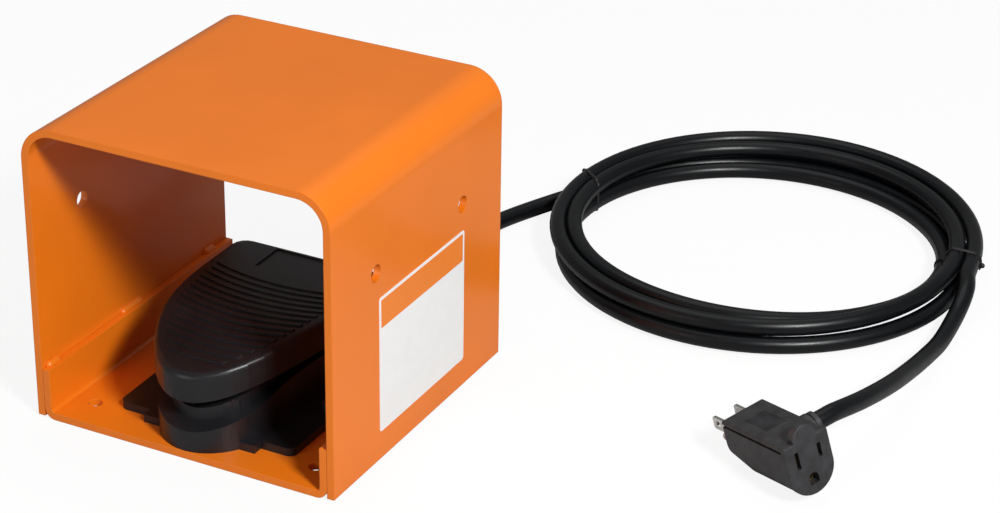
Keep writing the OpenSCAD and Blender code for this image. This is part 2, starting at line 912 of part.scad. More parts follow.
module return_spring() {
    wire_r = spring_wire_d / 2;
    steps = spring_turns * rings_per_turn;
    low = spring_low + wire_r + pin_play;
    rise = spring_high - spring_low - spring_wire_d - pin_play * 2;
    // The end turns lie nearly flat, the middle turns carry the pitch
    path = [
        for (i = [0:steps])
            let (s = i / steps)
            let (a = 360 * spring_turns * s)
            let (flat = 1 / spring_turns)
            let (u = min(1, max(0, (s - flat / 2) / (1 - flat))))
            [
                spring_r * cos(a),
                spring_y + spring_r * sin(a),
                low + rise * (0.16 * s + 0.84 * soft(u))
            ]
    ];
    color(steel)
        tube(path, wire_r, coil_sides, unit(path[1] - path[0]), unit(path[steps] - path[steps - 1]));
}

module snap_holes(r) {
    for (y = screw_row)
        rod_x(-snap_size[0], snap_size[0] * 2, snap_y + y, switch_screw_z, r);
}

module snap_switch() {
    ear_in = lever_w / 2 + pin_play * 4;
    color(switch_grey)
        difference() {
            union() {
                translate([-snap_size[0] / 2, snap_y, snap_z])
                    cube(snap_size);
                for (m = [0, 1])
                    mirror([m, 0, 0])
                        across(ear_in, ear_in + lever_t * 3) {
                            translate([lever_pivot[1], lever_pivot[2]])
                                circle(barrel_r * 1.9, $fn = fine);
                            translate([lever_pivot[1] - barrel_r * 1.9, snap_top - lever_t])
                                square([barrel_r * 3.8, lever_pivot[2] - snap_top + lever_t]);
                        }
            }
            snap_holes(small_hole_r);
            rod_x(-snap_size[0], snap_size[0], lever_pivot[1], lever_pivot[2], barrel_r + pin_play);
            translate([-ear_in, lever_pivot[1] - barrel_r * 1.6, snap_top - lever_t * 0.4])
                cube([ear_in * 2, barrel_r * 3.2, snap_size[2]]);
            translate([0, plunger_y, snap_top - snap_size[2] * 0.4])
                cylinder(h = snap_size[2], r = plunger_r + pin_play, $fn = fine);
            for (m = [0, 1])
                mirror([m, 0, 0])
                    translate([snap_size[0] / 2 - lever_t, snap_y + snap_size[1] * 0.24, snap_z + snap_size[2] * 0.34])
                        cube([snap_size[0], snap_size[1] * 0.5, snap_size[2] * 0.42]);
        }
}

tab_l = snap_z - cover_top - shell_t * 0.5;
tab_places = [snap_size[1] * 0.16, snap_size[1] * 0.5, snap_size[1] * 0.84];
module switch_terminals() {
    tab_w = snap_size[0] * 0.46;
    color(brass)
        for (y = tab_places)
            difference() {
                translate([-tab_w / 2, snap_y + y, snap_z - tab_l])
                    cube([tab_w, lever_t * 1.6, tab_l]);
                translate([0, snap_y + y - over, snap_z - tab_l * 0.62])
                    rotate([-90, 0, 0])
                        cylinder(h = over * 3, r = tab_w / 7, $fn = fine);
            }
}

module switch_plunger() {
    color([0.85, 0.2, 0.1])
        translate([0, plunger_y, snap_top - snap_size[2] * 0.24]) {
            cylinder(h = plunger_top - snap_top + snap_size[2] * 0.24 - plunger_r, r = plunger_r, $fn = fine);
            translate([0, 0, plunger_top - snap_top + snap_size[2] * 0.24 - plunger_r])
                intersection() {
                    sphere(plunger_r, $fn = fine);
                    cylinder(h = plunger_r, r = plunger_r, $fn = fine);
                }
        }
}

module switch_lever() {
    color(steel)
        translate(lever_pivot)
            rotate([-lever_rise, 0, 0])
                union() {
                    translate([-lever_w / 2, -lever_l, -lever_t / 2])
                        cube([lever_w, lever_l, lever_t]);
                    translate([-lever_w / 2 - lever_t * 2, 0, 0])
                        rotate([0, 90, 0])
                            cylinder(h = lever_w + lever_t * 4, r = barrel_r, $fn = fine);
                }
}

bracket_foot = snap_size[0];
module bracket_places() {
    for (y = [0.2, 0.8])
        translate([snap_size[0] / 2 + bracket_foot * 0.62, snap_y + snap_size[1] * y, 0])
            children();
}

module switch_bracket() {
    x0 = snap_size[0] / 2 + pin_play;
    color(steel)
        difference() {
            union() {
                translate([x0, snap_y, cover_top])
                    cube([bracket_t, snap_size[1], snap_size[2] * 0.95]);
                translate([x0, snap_y, cover_top])
                    cube([bracket_foot, snap_size[1], bracket_t]);
            }
            for (y = screw_row)
                rod_x(x0 - over, x0 + bracket_t + over, snap_y + y, switch_screw_z, small_hole_r);
            bracket_places()
                translate([0, 0, cover_top - over])
                    cylinder(h = bracket_t + over * 2, r = small_hole_r, $fn = fine);
        }
}

module bracket_screws() {
    tip = cover_z + pin_play;
    color(steel)
        bracket_places()
            translate([0, 0, tip])
                pan_screw(small_screw_r, cover_top + bracket_t - tip, small_head_r * 0.85, small_head_h);
}

module switch_screws() {
    reach = snap_size[0] + bracket_t * 1.6;
    color(steel)
        for (y = screw_row)
            translate([snap_size[0] / 2 + bracket_t * 1.6, snap_y + y, switch_screw_z])
                rotate([0, -90, 0])
                    pan_screw(small_screw_r, reach, small_head_r * 0.85, small_head_h);
}

// Insulated conductors from the cord to the terminals
lead_wire_r = 0.9;
module wire(points, heading) {
    tube(smooth_path(concat([points[0] - heading], points, [points[len(points) - 1] + [0, 1, 0]]), 2),
        lead_wire_r, coil_sides, heading, [0, 1, 0]);
}

module internal_leads() {
    wire_z = snap_z - tab_l * 0.5;
    near = snap_y + snap_size[1] + shell_t * 2;
    color([0.75, 0.1, 0.08])
        wire([
            [0, snap_y + tab_places[2] + lever_t * 1.6, wire_z],
            [0, near, wire_z],
            [-1, near + shell_t * 4, cord_exit_z - shell_t],
            [-1.6, stub_start - shell_t, cord_exit_z],
            [-1.6, stub_start, cord_exit_z]
        ], [0, 1, 0]);
    color([0.9, 0.9, 0.88])
        wire([
            [0, snap_y + tab_places[1] + lever_t * 1.6, wire_z],
            [-3.4, snap_y + tab_places[1] + snap_size[1] * 0.2, wire_z],
            [-7, snap_y + tab_places[2] + shell_t, wire_z],
            [-7, near + shell_t * 3, cord_exit_z],
            [-2.5, stub_start - shell_t * 2, cord_exit_z + 2],
            [1.4, stub_start - shell_t, cord_exit_z + 2.1],
            [1.4, stub_start, cord_exit_z + 2.1]
        ], [0, 1, 0]);
}

module cord_clamp() {
    top = cord_exit_z + cord_r + shell_t * 0.8;
    color(steel)
        difference() {
            translate([0, clamp_y + clamp_l / 2, 0])
                rotate([90, 0, 0])
                    linear_extrude(clamp_l)
                        difference() {
                            union() {
                                translate([-clamp_half, cover_top])
                                    square([clamp_half * 2, shell_t]);
                                translate([-cord_r - shell_t * 0.8, cover_top])
                                    square([cord_d + shell_t * 1.6, cord_exit_z - cover_top]);
                                translate([0, cord_exit_z])
                                    circle(top - cord_exit_z, $fn = fine);
                            }
                            translate([0, cord_exit_z])
                                circle(cord_r + pin_play, $fn = fine);
                            translate([-cord_r - pin_play, cover_top - over])
                                square([cord_d + pin_play * 2, cord_exit_z - cover_top + over]);
                        }
            for (x = [-clamp_screw_x, clamp_screw_x])
                translate([x, clamp_y, cover_top - over])
                    cylinder(h = shell_t + over * 2, r = small_hole_r, $fn = fine);
        }
}

module clamp_screws() {
    tip = cover_z + pin_play;
    color(steel)
        for (x = [-clamp_screw_x, clamp_screw_x])
            translate([x, clamp_y, tip])
                pan_screw(small_screw_r, cover_top + shell_t - tip, small_head_r * 0.75, small_head_h);
}

module cord_stub() {
    color(black)
        translate([0, cord_exit_y - shell_t * 2.4, cord_exit_z])
            rotate([90, 0, 0])
                cylinder(h = cord_exit_y - shell_t * 2.4 - stub_start, r = cord_r, $fn = fine);
}

// Strain relief: an inner flange, a neck through the wall, an outer flange
// and a ribbed taper, turned about the line of the cord
module cord_gland() {
    neck_r = cord_hole_r - pin_play * 2;
    flange_r = cord_d * 0.94;
    inner = shell_t * 2.4;
    root_r = cord_d * 0.76;
    tip_r = cord_d * 0.6;
    segments = 6;
    rib_length = relief_l / segments;
    notch = cord_d * 0.06;
    taper = [
        for (i = [0:segments - 1])
            let (r0 = root_r + (tip_r - root_r) * i / segments)
            let (r1 = root_r + (tip_r - root_r) * (i + 0.62) / segments)
            let (z0 = gland_flange_t + i * rib_length)
            for (q = [[r0, z0], [r1, z0 + rib_length * 0.62], [r1 - notch, z0 + rib_length * 0.72],
                      [r1 - notch * 1.3, z0 + rib_length * 0.98]])
                q
    ];
    color(black)
        translate([0, cord_exit_y, cord_exit_z])
            rotate([-90, 0, 0])
                rotate_extrude($fn = fine)
                    polygon(concat(
                        [
                            [0, -inner],
                            [flange_r * 0.88, -inner],
                            [flange_r * 0.88, -shell_t - pin_play],
                            [neck_r, -shell_t - pin_play],
                            [neck_r, pin_play],
                            [flange_r, pin_play],
                            [flange_r, gland_flange_t * 0.7],
                            [root_r + notch, gland_flange_t]
                        ],
                        taper,
                        [
                            [tip_r - notch, gland_flange_t + relief_l],
                            [0, gland_flange_t + relief_l]
                        ]
                    ));
}

module cord_lead() {
    color(black)
        tube(lead_path, cord_r, free_sides, [0, 1, 0], coil_heading(0));
}

module cord_coil() {
    color(black)
        tube(coil_path, cord_r, coil_sides, coil_heading(0), coil_heading(coil_turns));
}

module cord_tail() {
    color(black)
        tube(tail_path, cord_r, free_sides, coil_heading(coil_turns), -collar_heading);
}

// Distance out from the coil's centre and height where the coil's centreline
// crosses the upright plane at an angle, in the stretches next to one ring
function beside(v, angle) = -v[0] * sin(angle) + v[1] * cos(angle);
function outward(v, angle) = v[0] * cos(angle) + v[1] * sin(angle);
function crossing(angle, ring) =
    let (k = beside(coil_path[ring + 1] - coil_middle, angle) > 0 ? ring + 1 : ring)
    let (from = coil_path[k] - coil_middle)
    let (step = coil_path[k + 1] - coil_path[k])
    let (at = from - step * beside(from, angle) / beside(step, angle))
    [outward(at, angle), at[2]];

// Flat band drawn round the strands that pass one direction of the coil,
// with its joined ends as a short head on top
module tie(t0, rounds) {
    angle = coil_start_angle - 360 * t0;
    strands = [for (k = [0:rounds]) crossing(angle, round((t0 + k) * rings_per_turn))];
    head = [tie_t * 5, tie_t * 4.5];
    color(black)
        translate([coil_centre[0], coil_centre[1], 0])
            rotate([0, 0, angle])
                translate([0, tie_w / 2, 0])
                    rotate([90, 0, 0])
                        linear_extrude(tie_w) {
                            difference() {
                                tie_loop(strands, tie_gap + tie_t);
                                tie_loop(strands, tie_gap);
                            }
                            translate([strands[rounds][0] - head[0] / 2, strands[rounds][1] + cord_r + tie_gap])
                                square(head);
                        }
}

module tie_loop(strands, grow) {
    hull()
        for (s = strands)
            translate(s)
                circle(cord_r + grow, $fn = fine / 2);
}

// The ties sit at the start and at the end of the coil
tied_rounds = floor(coil_turns);
module coil_tie_left() {
    tie(0, tied_rounds);
}

module coil_tie_right() {
    tie(coil_turns - tied_rounds, tied_rounds);
}

module in_plug() {
    translate(plug_pos)
        rotate(plug_turn)
            children();
}

// Section of the plug: square shoulders above, rounded below
module plug_section(grow) {
    w = plug_half_w + grow;
    edge = plug_half_w / 7;
    translate([0, -plug_round_down])
        circle(w, $fn = fine);
    polygon([
        [-w, -plug_round_down],
        [w, -plug_round_down],
        [w, plug_up + grow - edge],
        [w - edge, plug_up + grow],
        [-w + edge, plug_up + grow],
        [-w, plug_up + grow - edge]
    ]);
}

module along_plug(y0, y1) {
    translate([0, y1, 0])
        rotate([90, 0, 0])
            linear_extrude(y1 - y0)
                children();
}

slot_half = plug_half_w * 0.454;
slot_w = plug_half_w * 0.15;
slot_depth = plug_l * 0.36;
ground_r = plug_half_w * 0.19;
ground_drop = plug_half_w * 0.85;
grip_ribs = 9;
module plug_body() {
    face_t = plug_l * 0.07;
    rib = plug_l / 38;
    color(switch_grey)
        in_plug()
            difference() {
                union() {
                    along_plug(0, plug_l)
                        plug_section(0);
                    along_plug(0, face_t)
                        plug_section(rib / 2);
                    for (i = [0:grip_ribs - 1])
                        translate([-plug_half_w * 0.62, plug_l * 0.36 + i * rib * 2.4, plug_up - rib])
                            cube([plug_half_w * 1.24, rib, rib * 1.7]);
                    intersection() {
                        translate([0, 0, plug_up - rib])
                            cylinder(h = rib * 2.6, r = plug_half_w * 0.56, $fn = fine);
                        translate([-plug_half_w, 0, 0])
                            cube([plug_half_w * 2, plug_l, plug_up * 3]);
                    }
                    translate([plug_half_w - shell_t, collar_from_face, collar_rise])
                        rotate([0, 90, 0])
                            cylinder(h = collar_l + shell_t, r = collar_r, $fn = fine);
                }
                for (s = [[-1, 0.32], [1, 0.25]])
                    translate([s[0] * slot_half - slot_w / 2, -over, -plug_half_w * s[1]])
                        cube([slot_w, slot_depth + over, plug_half_w * s[1] * 2]);
                translate([0, -over, -ground_drop])
                    rotate([-90, 0, 0])
                        cylinder(h = slot_depth + over, r = ground_r, $fn = fine);
            }
}

blade_l = 17.5;
blade_h = 6.35;
blade_t = 1.5;
module plug_blades() {
    root = pin_play;
    color(steel)
        in_plug()
            for (s = [-1, 1])
                translate([s * slot_half - blade_t / 2, plug_l + root, -blade_h / 2])
                    difference() {
                        cube([blade_t, blade_l, blade_h]);
                        translate([-over, blade_l * 0.72, blade_h / 2])
                            rotate([0, 90, 0])
                                cylinder(h = blade_t + over * 2, r = blade_h / 4, $fn = fine);
                    }
}

ground_pin_r = 2.4;
module plug_ground_pin() {
    length = blade_l * 1.2;
    color(steel)
        in_plug()
            translate([0, plug_l + pin_play, -ground_drop])
                rotate([-90, 0, 0]) {
                    cylinder(h = length - ground_pin_r, r = ground_pin_r, $fn = fine);
                    translate([0, 0, length - ground_pin_r])
                        sphere(ground_pin_r, $fn = fine);
                }
}

// Contact strips inside the receptacle slots and the ground sleeve
module plug_contacts() {
    strip_t = slot_w * 0.2;
    strip_h = plug_half_w * 0.36;
    color(brass)
        in_plug() {
            for (s = [-1, 1])
                translate([s * slot_half + slot_w / 2 - strip_t - pin_play, slot_depth * 0.25, -strip_h / 2])
                    cube([strip_t, slot_depth * 0.7, strip_h]);
            translate([0, slot_depth * 0.25, -ground_drop])
                rotate([-90, 0, 0])
                    difference() {
                        cylinder(h = slot_depth * 0.7, r = ground_r - pin_play, $fn = fine);
                        translate([0, 0, -over])
                            cylinder(h = slot_depth * 0.7 + over * 2, r = ground_r - strip_t * 1.5, $fn = fine);
                    }
        }
}

guard_hood();
floor_pan();
weld_beads();
switch_base();
base_cover();
cover_screws();
mounting_screws();
pedal();
hinge_pin();
pin_clips();
return_spring();
snap_switch();
switch_terminals();
switch_plunger();
switch_lever();
switch_bracket();
bracket_screws();
switch_screws();
internal_leads();
cord_clamp();
clamp_screws();
cord_stub();
cord_gland();
cord_lead();
cord_coil();
cord_tail();
coil_tie_left();
coil_tie_right();
plug_body();
plug_blades();
plug_ground_pin();
plug_contacts();
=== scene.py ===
"""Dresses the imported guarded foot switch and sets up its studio.

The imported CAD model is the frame: millimetre values below are the same ones
that the CAD uses, and MM turns them into metres.
"""
import logging
import math
from dataclasses import dataclass, field
from enum import Enum
from typing import Optional, Sequence

import bmesh
import bpy
from mathutils import Euler, Matrix, Vector
from mathutils.geometry import tessellate_polygon


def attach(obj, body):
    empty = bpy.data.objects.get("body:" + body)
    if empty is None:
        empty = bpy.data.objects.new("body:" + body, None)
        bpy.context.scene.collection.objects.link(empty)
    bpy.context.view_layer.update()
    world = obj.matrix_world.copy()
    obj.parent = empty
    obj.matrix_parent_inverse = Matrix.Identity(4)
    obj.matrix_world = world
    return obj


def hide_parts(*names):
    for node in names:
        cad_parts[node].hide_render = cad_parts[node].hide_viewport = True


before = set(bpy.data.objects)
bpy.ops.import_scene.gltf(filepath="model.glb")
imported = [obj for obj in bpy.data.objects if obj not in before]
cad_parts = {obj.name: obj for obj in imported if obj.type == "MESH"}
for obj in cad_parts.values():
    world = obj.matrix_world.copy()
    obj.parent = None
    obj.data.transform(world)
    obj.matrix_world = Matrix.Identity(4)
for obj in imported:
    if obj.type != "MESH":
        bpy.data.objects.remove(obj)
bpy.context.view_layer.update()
LOG = logging.getLogger("foot_switch")
MM = 0.001
SHARP_ANGLE = 35.0
Colour = tuple[float, float, float, float]
Pair = tuple[float, float]
Triple = tuple[float, float, float]


class Body(Enum):
    """The CAD bodies that pieces ride on."""

    GUARD = "guard"
    TREADLE = "treadle"
    LEVER = "lever"
    PLUNGER = "plunger"


class Slot(Enum):
    """The record's material slots."""

    GUARD_PAINT = "guard_paint"
    BLACK_MOULDING = "black_moulding"
    ZINC = "zinc"
    SPRING_STEEL = "spring_steel"
    SWITCH_CASE = "switch_case"
    BRASS = "brass"
    PLUNGER = "plunger"
    LEAD_COVER = "lead_cover"
    CORD_JACKET = "cord_jacket"
    TIE_PLASTIC = "tie_plastic"
    PLUG_MOULDING = "plug_moulding"
    NICKEL = "nickel"


class NodeSheet:
    """A material's node tree, with short calls for adding and joining nodes."""

    def __init__(self, name: str) -> None:
        """Starts an empty material with a Principled shader and an output.

        Args:
            name: The material's name.
        """
        self.material = bpy.data.materials.new(name)
        self.material.use_nodes = True
        self.tree = self.material.node_tree
        self.tree.nodes.clear()
        self.output = self.tree.nodes.new("ShaderNodeOutputMaterial")
        self.shader = self.tree.nodes.new("ShaderNodeBsdfPrincipled")
        self.join(self.shader.outputs["BSDF"], self.output.inputs["Surface"])
        self.coords = self.tree.nodes.new("ShaderNodeTexCoord").outputs["Object"]

    def add(self, kind: str, **values: object) -> bpy.types.Node:
        """Adds a node and sets its sockets by name or its own properties.

        Args:
            kind: Blender's name of the node.
            values: Socket values, with underscores for spaces, or properties.

        Returns:
            The new node.
        """
        node = self.tree.nodes.new(kind)
        for key, value in values.items():
            label = key.replace("_", " ")
            if label in node.inputs:
                node.inputs[label].default_value = value
            else:
                setattr(node, key, value)
        return node

    def join(self, out: bpy.types.NodeSocket, into: bpy.types.NodeSocket) -> None:
        """Links an output socket to an input socket."""
        self.tree.links.new(out, into)

    def set(self, **values: object) -> None:
        """Sets sockets of the shader by name, with underscores for spaces."""
        for key, value in values.items():
            self.shader.inputs[key.replace("_", " ")].default_value = value

    def noise(self, scale: float, detail: float = 4.0, rough: float = 0.5,
              stretch: Optional[Vector] = None) -> bpy.types.NodeSocket:
        """Adds a noise texture in object space.

        Args:
            scale: Features per metre.
            detail: Octaves.
            rough: Weight of the finer octaves.
            stretch: Scale of each axis, or None for an even one.

        Returns:
            The noise's value socket.
        """
        texture = self.add("ShaderNodeTexNoise", Scale=scale, Detail=detail, Roughness=rough)
        source = self.coords
        if stretch is not None:
            mapping = self.add("ShaderNodeMapping")
            mapping.inputs["Scale"].default_value = stretch
            self.join(source, mapping.inputs["Vector"])
            source = mapping.outputs["Vector"]
        self.join(source, texture.inputs["Vector"])
        return texture.outputs["Fac"]

    def ramp(self, value: bpy.types.NodeSocket, low: float, high: float,
             first: Colour, second: Colour) -> bpy.types.NodeSocket:
        """Turns a value into a colour between two stops.

        Args:
            value: The driving socket.
            low: Value at the first colour.
            high: Value at the second colour.
            first: First colour.
            second: Second colour.

        Returns:
            The colour socket.
        """
        node = self.add("ShaderNodeValToRGB")
        node.color_ramp.elements[0].position = low
        node.color_ramp.elements[0].color = first
        node.color_ramp.elements[1].position = high
        node.color_ramp.elements[1].color = second
        self.join(value, node.inputs["Fac"])
        return node.outputs["Color"]

    def span(self, value: bpy.types.NodeSocket, low: float, high: float) -> bpy.types.NodeSocket:
        """Maps a 0 to 1 value onto a range.

        Args:
            value: The driving socket.
            low: Result at 0.
            high: Result at 1.

        Returns:
            The mapped socket.
        """
        node = self.add("ShaderNodeMapRange", To_Min=low, To_Max=high)
        self.join(value, node.inputs["Value"])
        return node.outputs["Result"]

    def bump(self, height: bpy.types.NodeSocket, strength: float, distance: float, edge: float = 0.0) -> None:
        """Raises the surface by a height socket.

        Args:
            height: The height, 0 to 1.
            strength: Share of the effect.
            distance: Height in metres at 1.
            edge: Radius in metres to which sharp edges look rounded, or 0.
        """
        node = self.add("ShaderNodeBump", Strength=strength, Distance=distance)
        self.join(height, node.inputs["Height"])
        if edge > 0:
            rounded = self.add("ShaderNodeBevel", samples=6, Radius=edge)
            self.join(rounded.outputs["Normal"], node.inputs["Normal"])
        self.join(node.outputs["Normal"], self.shader.inputs["Normal"])


def shade(colour: Colour, factor: float) -> Colour:
    """A colour with its brightness scaled."""
    return (colour[0] * factor, colour[1] * factor, colour[2] * factor, colour[3])


@dataclass(frozen=True)
class PowderCoat:
    """Glossy baked paint with a fine orange-peel surface."""

    name: str = "guard_powder_coat"
    colour: Colour = (0.83, 0.19, 0.007, 1.0)
    roughness: float = 0.38
    coat: float = 0.25
    coat_roughness: float = 0.12
    peel_scale: float = 520.0
    peel_depth: float = 0.00006
    edge: float = 0.0006

    def material(self) -> bpy.types.Material:
        """Builds the material."""
        sheet = NodeSheet(self.name)
        sheet.set(Coat_Weight=self.coat, Coat_Roughness=self.coat_roughness, Specular_IOR_Level=0.35)
        drift = sheet.noise(14.0, 3.0)
        tone = sheet.ramp(drift, 0.3, 0.7, shade(self.colour, 0.95), shade(self.colour, 1.04))
        sheet.join(tone, sheet.shader.inputs["Base Color"])
        rough = sheet.span(sheet.noise(60.0, 5.0), self.roughness - 0.05, self.roughness + 0.05)
        sheet.join(rough, sheet.shader.inputs["Roughness"])
        sheet.bump(sheet.noise(self.peel_scale, 2.0), 0.35, self.peel_depth, self.edge)
        return sheet.material


@dataclass(frozen=True)
class Moulding:
    """Moulded plastic or rubber with a fine grain."""

    name: str
    colour: Colour
    roughness: float
    grain_scale: float = 1900.0
    grain_depth: float = 0.00003
    mottle: float = 0.25
    mottle_scale: float = 40.0
    specular: float = 0.5

    def material(self) -> bpy.types.Material:
        """Builds the material."""
        sheet = NodeSheet(self.name)
        sheet.set(Specular_IOR_Level=self.specular)
        drift = sheet.noise(self.mottle_scale, 5.0)
        dark, pale = shade(self.colour, 1 - self.mottle), shade(self.colour, 1 + self.mottle)
        tone = sheet.ramp(drift, 0.3, 0.7, dark, pale)
        sheet.join(tone, sheet.shader.inputs["Base Color"])
        grain = sheet.noise(self.mottle_scale * 4, 4.0)
        rough = sheet.span(grain, self.roughness - 0.06, self.roughness + 0.06)
        sheet.join(rough, sheet.shader.inputs["Roughness"])
        sheet.bump(sheet.noise(self.grain_scale, 2.0), 0.6, self.grain_depth)
        return sheet.material


@dataclass(frozen=True)
class Metal:
    """Plated or bare metal with fine scratches."""

    name: str
    colour: Colour
    roughness: float

    def material(self) -> bpy.types.Material:
        """Builds the material."""
        sheet = NodeSheet(self.name)
        sheet.set(Metallic=1.0)
        drift = sheet.noise(90.0, 4.0)
        tone = sheet.ramp(drift, 0.3, 0.7, shade(self.colour, 0.88), self.colour)
        sheet.join(tone, sheet.shader.inputs["Base Color"])
        streak = sheet.noise(300.0, 3.0, 0.6, Vector((1.0, 1.0, 12.0)))
        rough = sheet.span(streak, self.roughness * 0.7, self.roughness * 1.3)
        sheet.join(rough, sheet.shader.inputs["Roughness"])
        sheet.bump(streak, 0.15, 0.00001)
        return sheet.material


@dataclass(frozen=True)
class Paper:
    """Printed film or paper with no print on it."""

    name: str
    colour: Colour
    roughness: float = 0.42

    def material(self) -> bpy.types.Material:
        """Builds the material."""
        sheet = NodeSheet(self.name)
        drift = sheet.noise(120.0, 3.0)
        tone = sheet.ramp(drift, 0.3, 0.7, shade(self.colour, 0.97), self.colour)
        sheet.join(tone, sheet.shader.inputs["Base Color"])
        rough = sheet.span(sheet.noise(200.0), self.roughness - 0.05, self.roughness + 0.05)
        sheet.join(rough, sheet.shader.inputs["Roughness"])
        sheet.bump(sheet.noise(1500.0, 2.0), 0.2, 0.00001)
        return sheet.material


class Palette:
    """Every material of the object, by record slot."""

    def __init__(self) -> None:
        """Builds the materials."""
        self.by_slot: dict[Slot, bpy.types.Material] = {
            Slot.GUARD_PAINT: PowderCoat().material(),
            Slot.BLACK_MOULDING: Moulding("pedal_moulding", (0.0085, 0.0086, 0.0100, 1), 0.36,
                                          grain_depth=0.00004, specular=0.4).material(),
            Slot.ZINC: Metal("zinc_plate", (0.70, 0.71, 0.72, 1), 0.32).material(),
            Slot.SPRING_STEEL: Metal("spring_steel", (0.55, 0.55, 0.57, 1), 0.25).material(),
            Slot.SWITCH_CASE: Moulding("switch_case", (0.02, 0.02, 0.022, 1), 0.5).material(),
            Slot.BRASS: Metal("brass", (0.80, 0.58, 0.22, 1), 0.3).material(),
            Slot.PLUNGER: Moulding("plunger_red", (0.45, 0.03, 0.012, 1), 0.4, mottle=0.05).material(),
            Slot.LEAD_COVER: Moulding("lead_cover", (0.45, 0.06, 0.04, 1), 0.45, mottle=0.05).material(),
            Slot.CORD_JACKET: Moulding("cord_jacket", (0.0026, 0.0031, 0.0040, 1), 0.34,
                                       grain_depth=0.00002, mottle=0.15, specular=0.3).material(),
            Slot.TIE_PLASTIC: Moulding("tie_plastic", (0.008, 0.008, 0.009, 1), 0.3, mottle=0.1).material(),
            Slot.PLUG_MOULDING: Moulding("plug_moulding", (0.022, 0.022, 0.024, 1), 0.5,
                                         mottle=0.45, mottle_scale=160.0, grain_depth=0.00005).material(),
            Slot.NICKEL: Metal("nickel", (0.83, 0.82, 0.79, 1), 0.22).material(),
        }
        self.label_white = Paper("label_white", (0.86, 0.86, 0.85, 1)).material()
        self.label_band = Paper("label_band", (0.85, 0.22, 0.02, 1)).material()

    def paint(self, piece: bpy.types.Object, slot: Slot, declare: bool = True) -> None:
        """Gives a piece the slot's material as its only one.

        Args:
            piece: The mesh object.
            slot: The record's slot.
            declare: Not used.
        """
        piece.data.materials.clear()
        piece.data.materials.append(self.by_slot[slot])


def mesh_piece(name: str, points: Sequence[Vector], faces: Sequence[Sequence[int]],
               smooth_angle: float = 40.0) -> bpy.types.Object:
    """Makes a mesh object from points and faces.

    Args:
        name: The object's name.
        points: Corners in metres.
        faces: Corner numbers of each face.
        smooth_angle: Edges sharper than this many degrees stay sharp.

    Returns:
        The linked object.
    """
    mesh = bpy.data.meshes.new(name)
    mesh.from_pydata([tuple(p) for p in points], [], [tuple(f) for f in faces])
    mesh.validate()
    mesh.polygons.foreach_set("use_smooth", [True] * len(mesh.polygons))
    mesh.set_sharp_from_angle(angle=math.radians(smooth_angle))
    piece = bpy.data.objects.new(name, mesh)
    bpy.context.scene.collection.objects.link(piece)
    return piece


def smooth_shade(piece: bpy.types.Object) -> None:
    """Shades a piece smooth except at its sharp edges."""
    piece.data.polygons.foreach_set("use_smooth", [True] * len(piece.data.polygons))
    piece.data.set_sharp_from_angle(angle=math.radians(SHARP_ANGLE))


def soften(piece: bpy.types.Object, width: float) -> None:
    """Rounds the sharp edges of a piece with modifiers, leaving its mesh.

    Args:
        piece: The mesh object.
        width: Width of the rounding in metres.
    """
    smooth_shade(piece)
    weld = piece.modifiers.new("weld", "WELD")
    weld.merge_threshold = 0.000002
    bevel = piece.modifiers.new("bevel", "BEVEL")
    bevel.width = width
    bevel.segments = 3
    bevel.limit_method = "ANGLE"
    bevel.angle_limit = math.radians(SHARP_ANGLE)
    bevel.use_clamp_overlap = True
    bevel.miter_outer = "MITER_ARC"
    normals = piece.modifiers.new("normals", "WEIGHTED_NORMAL")
    normals.keep_sharp = False


def arc(radius: float, start: float, end: float, steps: int) -> list[Pair]:
    """Points on an arc of a circle about the origin, both ends included.

    Args:
        radius: The circle's radius.
        start: Angle of the first point, in degrees.
        end: Angle of the last point, in degrees.
        steps: Stretches between the points.

    Returns:
        The points.
    """
    turns = [math.radians(start + (end - start) * k / steps) for k in range(steps + 1)]
    return [(radius * math.cos(a), radius * math.sin(a)) for a in turns]


def circle(radius: float, count: int) -> list[Pair]:
    """Evenly spaced points on a whole circle about the origin."""
    return arc(radius, 0, 360, count)[:-1]


def tube_mesh(name: str, path: Sequence[Vector], radius: float, sides: int) -> bpy.types.Object:
    """Sweeps a round section along a path with flat ends.

    Args:
        name: The object's name.
        path: Centreline points in metres.
        radius: Radius in metres.
        sides: Corners of the section.

    Returns:
        The linked object.
    """
    points: list[Vector] = []
    count = len(path)
    for i, centre in enumerate(path):
        heading = (path[min(i + 1, count - 1)] - path[max(i - 1, 0)]).normalized()
        side = heading.cross(Vector((0, 0, 1))).normalized()
        up = side.cross(heading)
        points += [centre + side * u + up * v for u, v in circle(radius, sides)]
    faces = [
        (i * sides + k, i * sides + (k + 1) % sides, (i + 1) * sides + (k + 1) % sides, (i + 1) * sides + k)
        for i in range(count - 1)
        for k in range(sides)
    ]
    faces.append(tuple(reversed(range(sides))))
    faces.append(tuple((count - 1) * sides + k for k in range(sides)))
    return mesh_piece(name, points, faces)


def mix_for_camera(tree: bpy.types.NodeTree, plain: bpy.types.NodeSocket, seen: bpy.types.NodeSocket,
                   output: bpy.types.NodeSocket) -> None:
    """Shows one shader to the camera, straight or through glass, and another to all other rays.

    Args:
        tree: The node tree to build in.
        plain: Shader for all other rays.
        seen: Shader that the camera sees.
        output: Socket that takes the mix.
    """
    rays = tree.nodes.new("ShaderNodeLightPath")
    either = tree.nodes.new("ShaderNodeMath")
    either.operation = "MAXIMUM"
    tree.links.new(rays.outputs["Is Camera Ray"], either.inputs[0])
    tree.links.new(rays.outputs["Is Transmission Ray"], either.inputs[1])
    mix = tree.nodes.new("ShaderNodeMixShader")
    for source, into in zip((either.outputs[0], plain, seen), mix.inputs):
        tree.links.new(source, into)
    tree.links.new(mix.outputs[0], output)


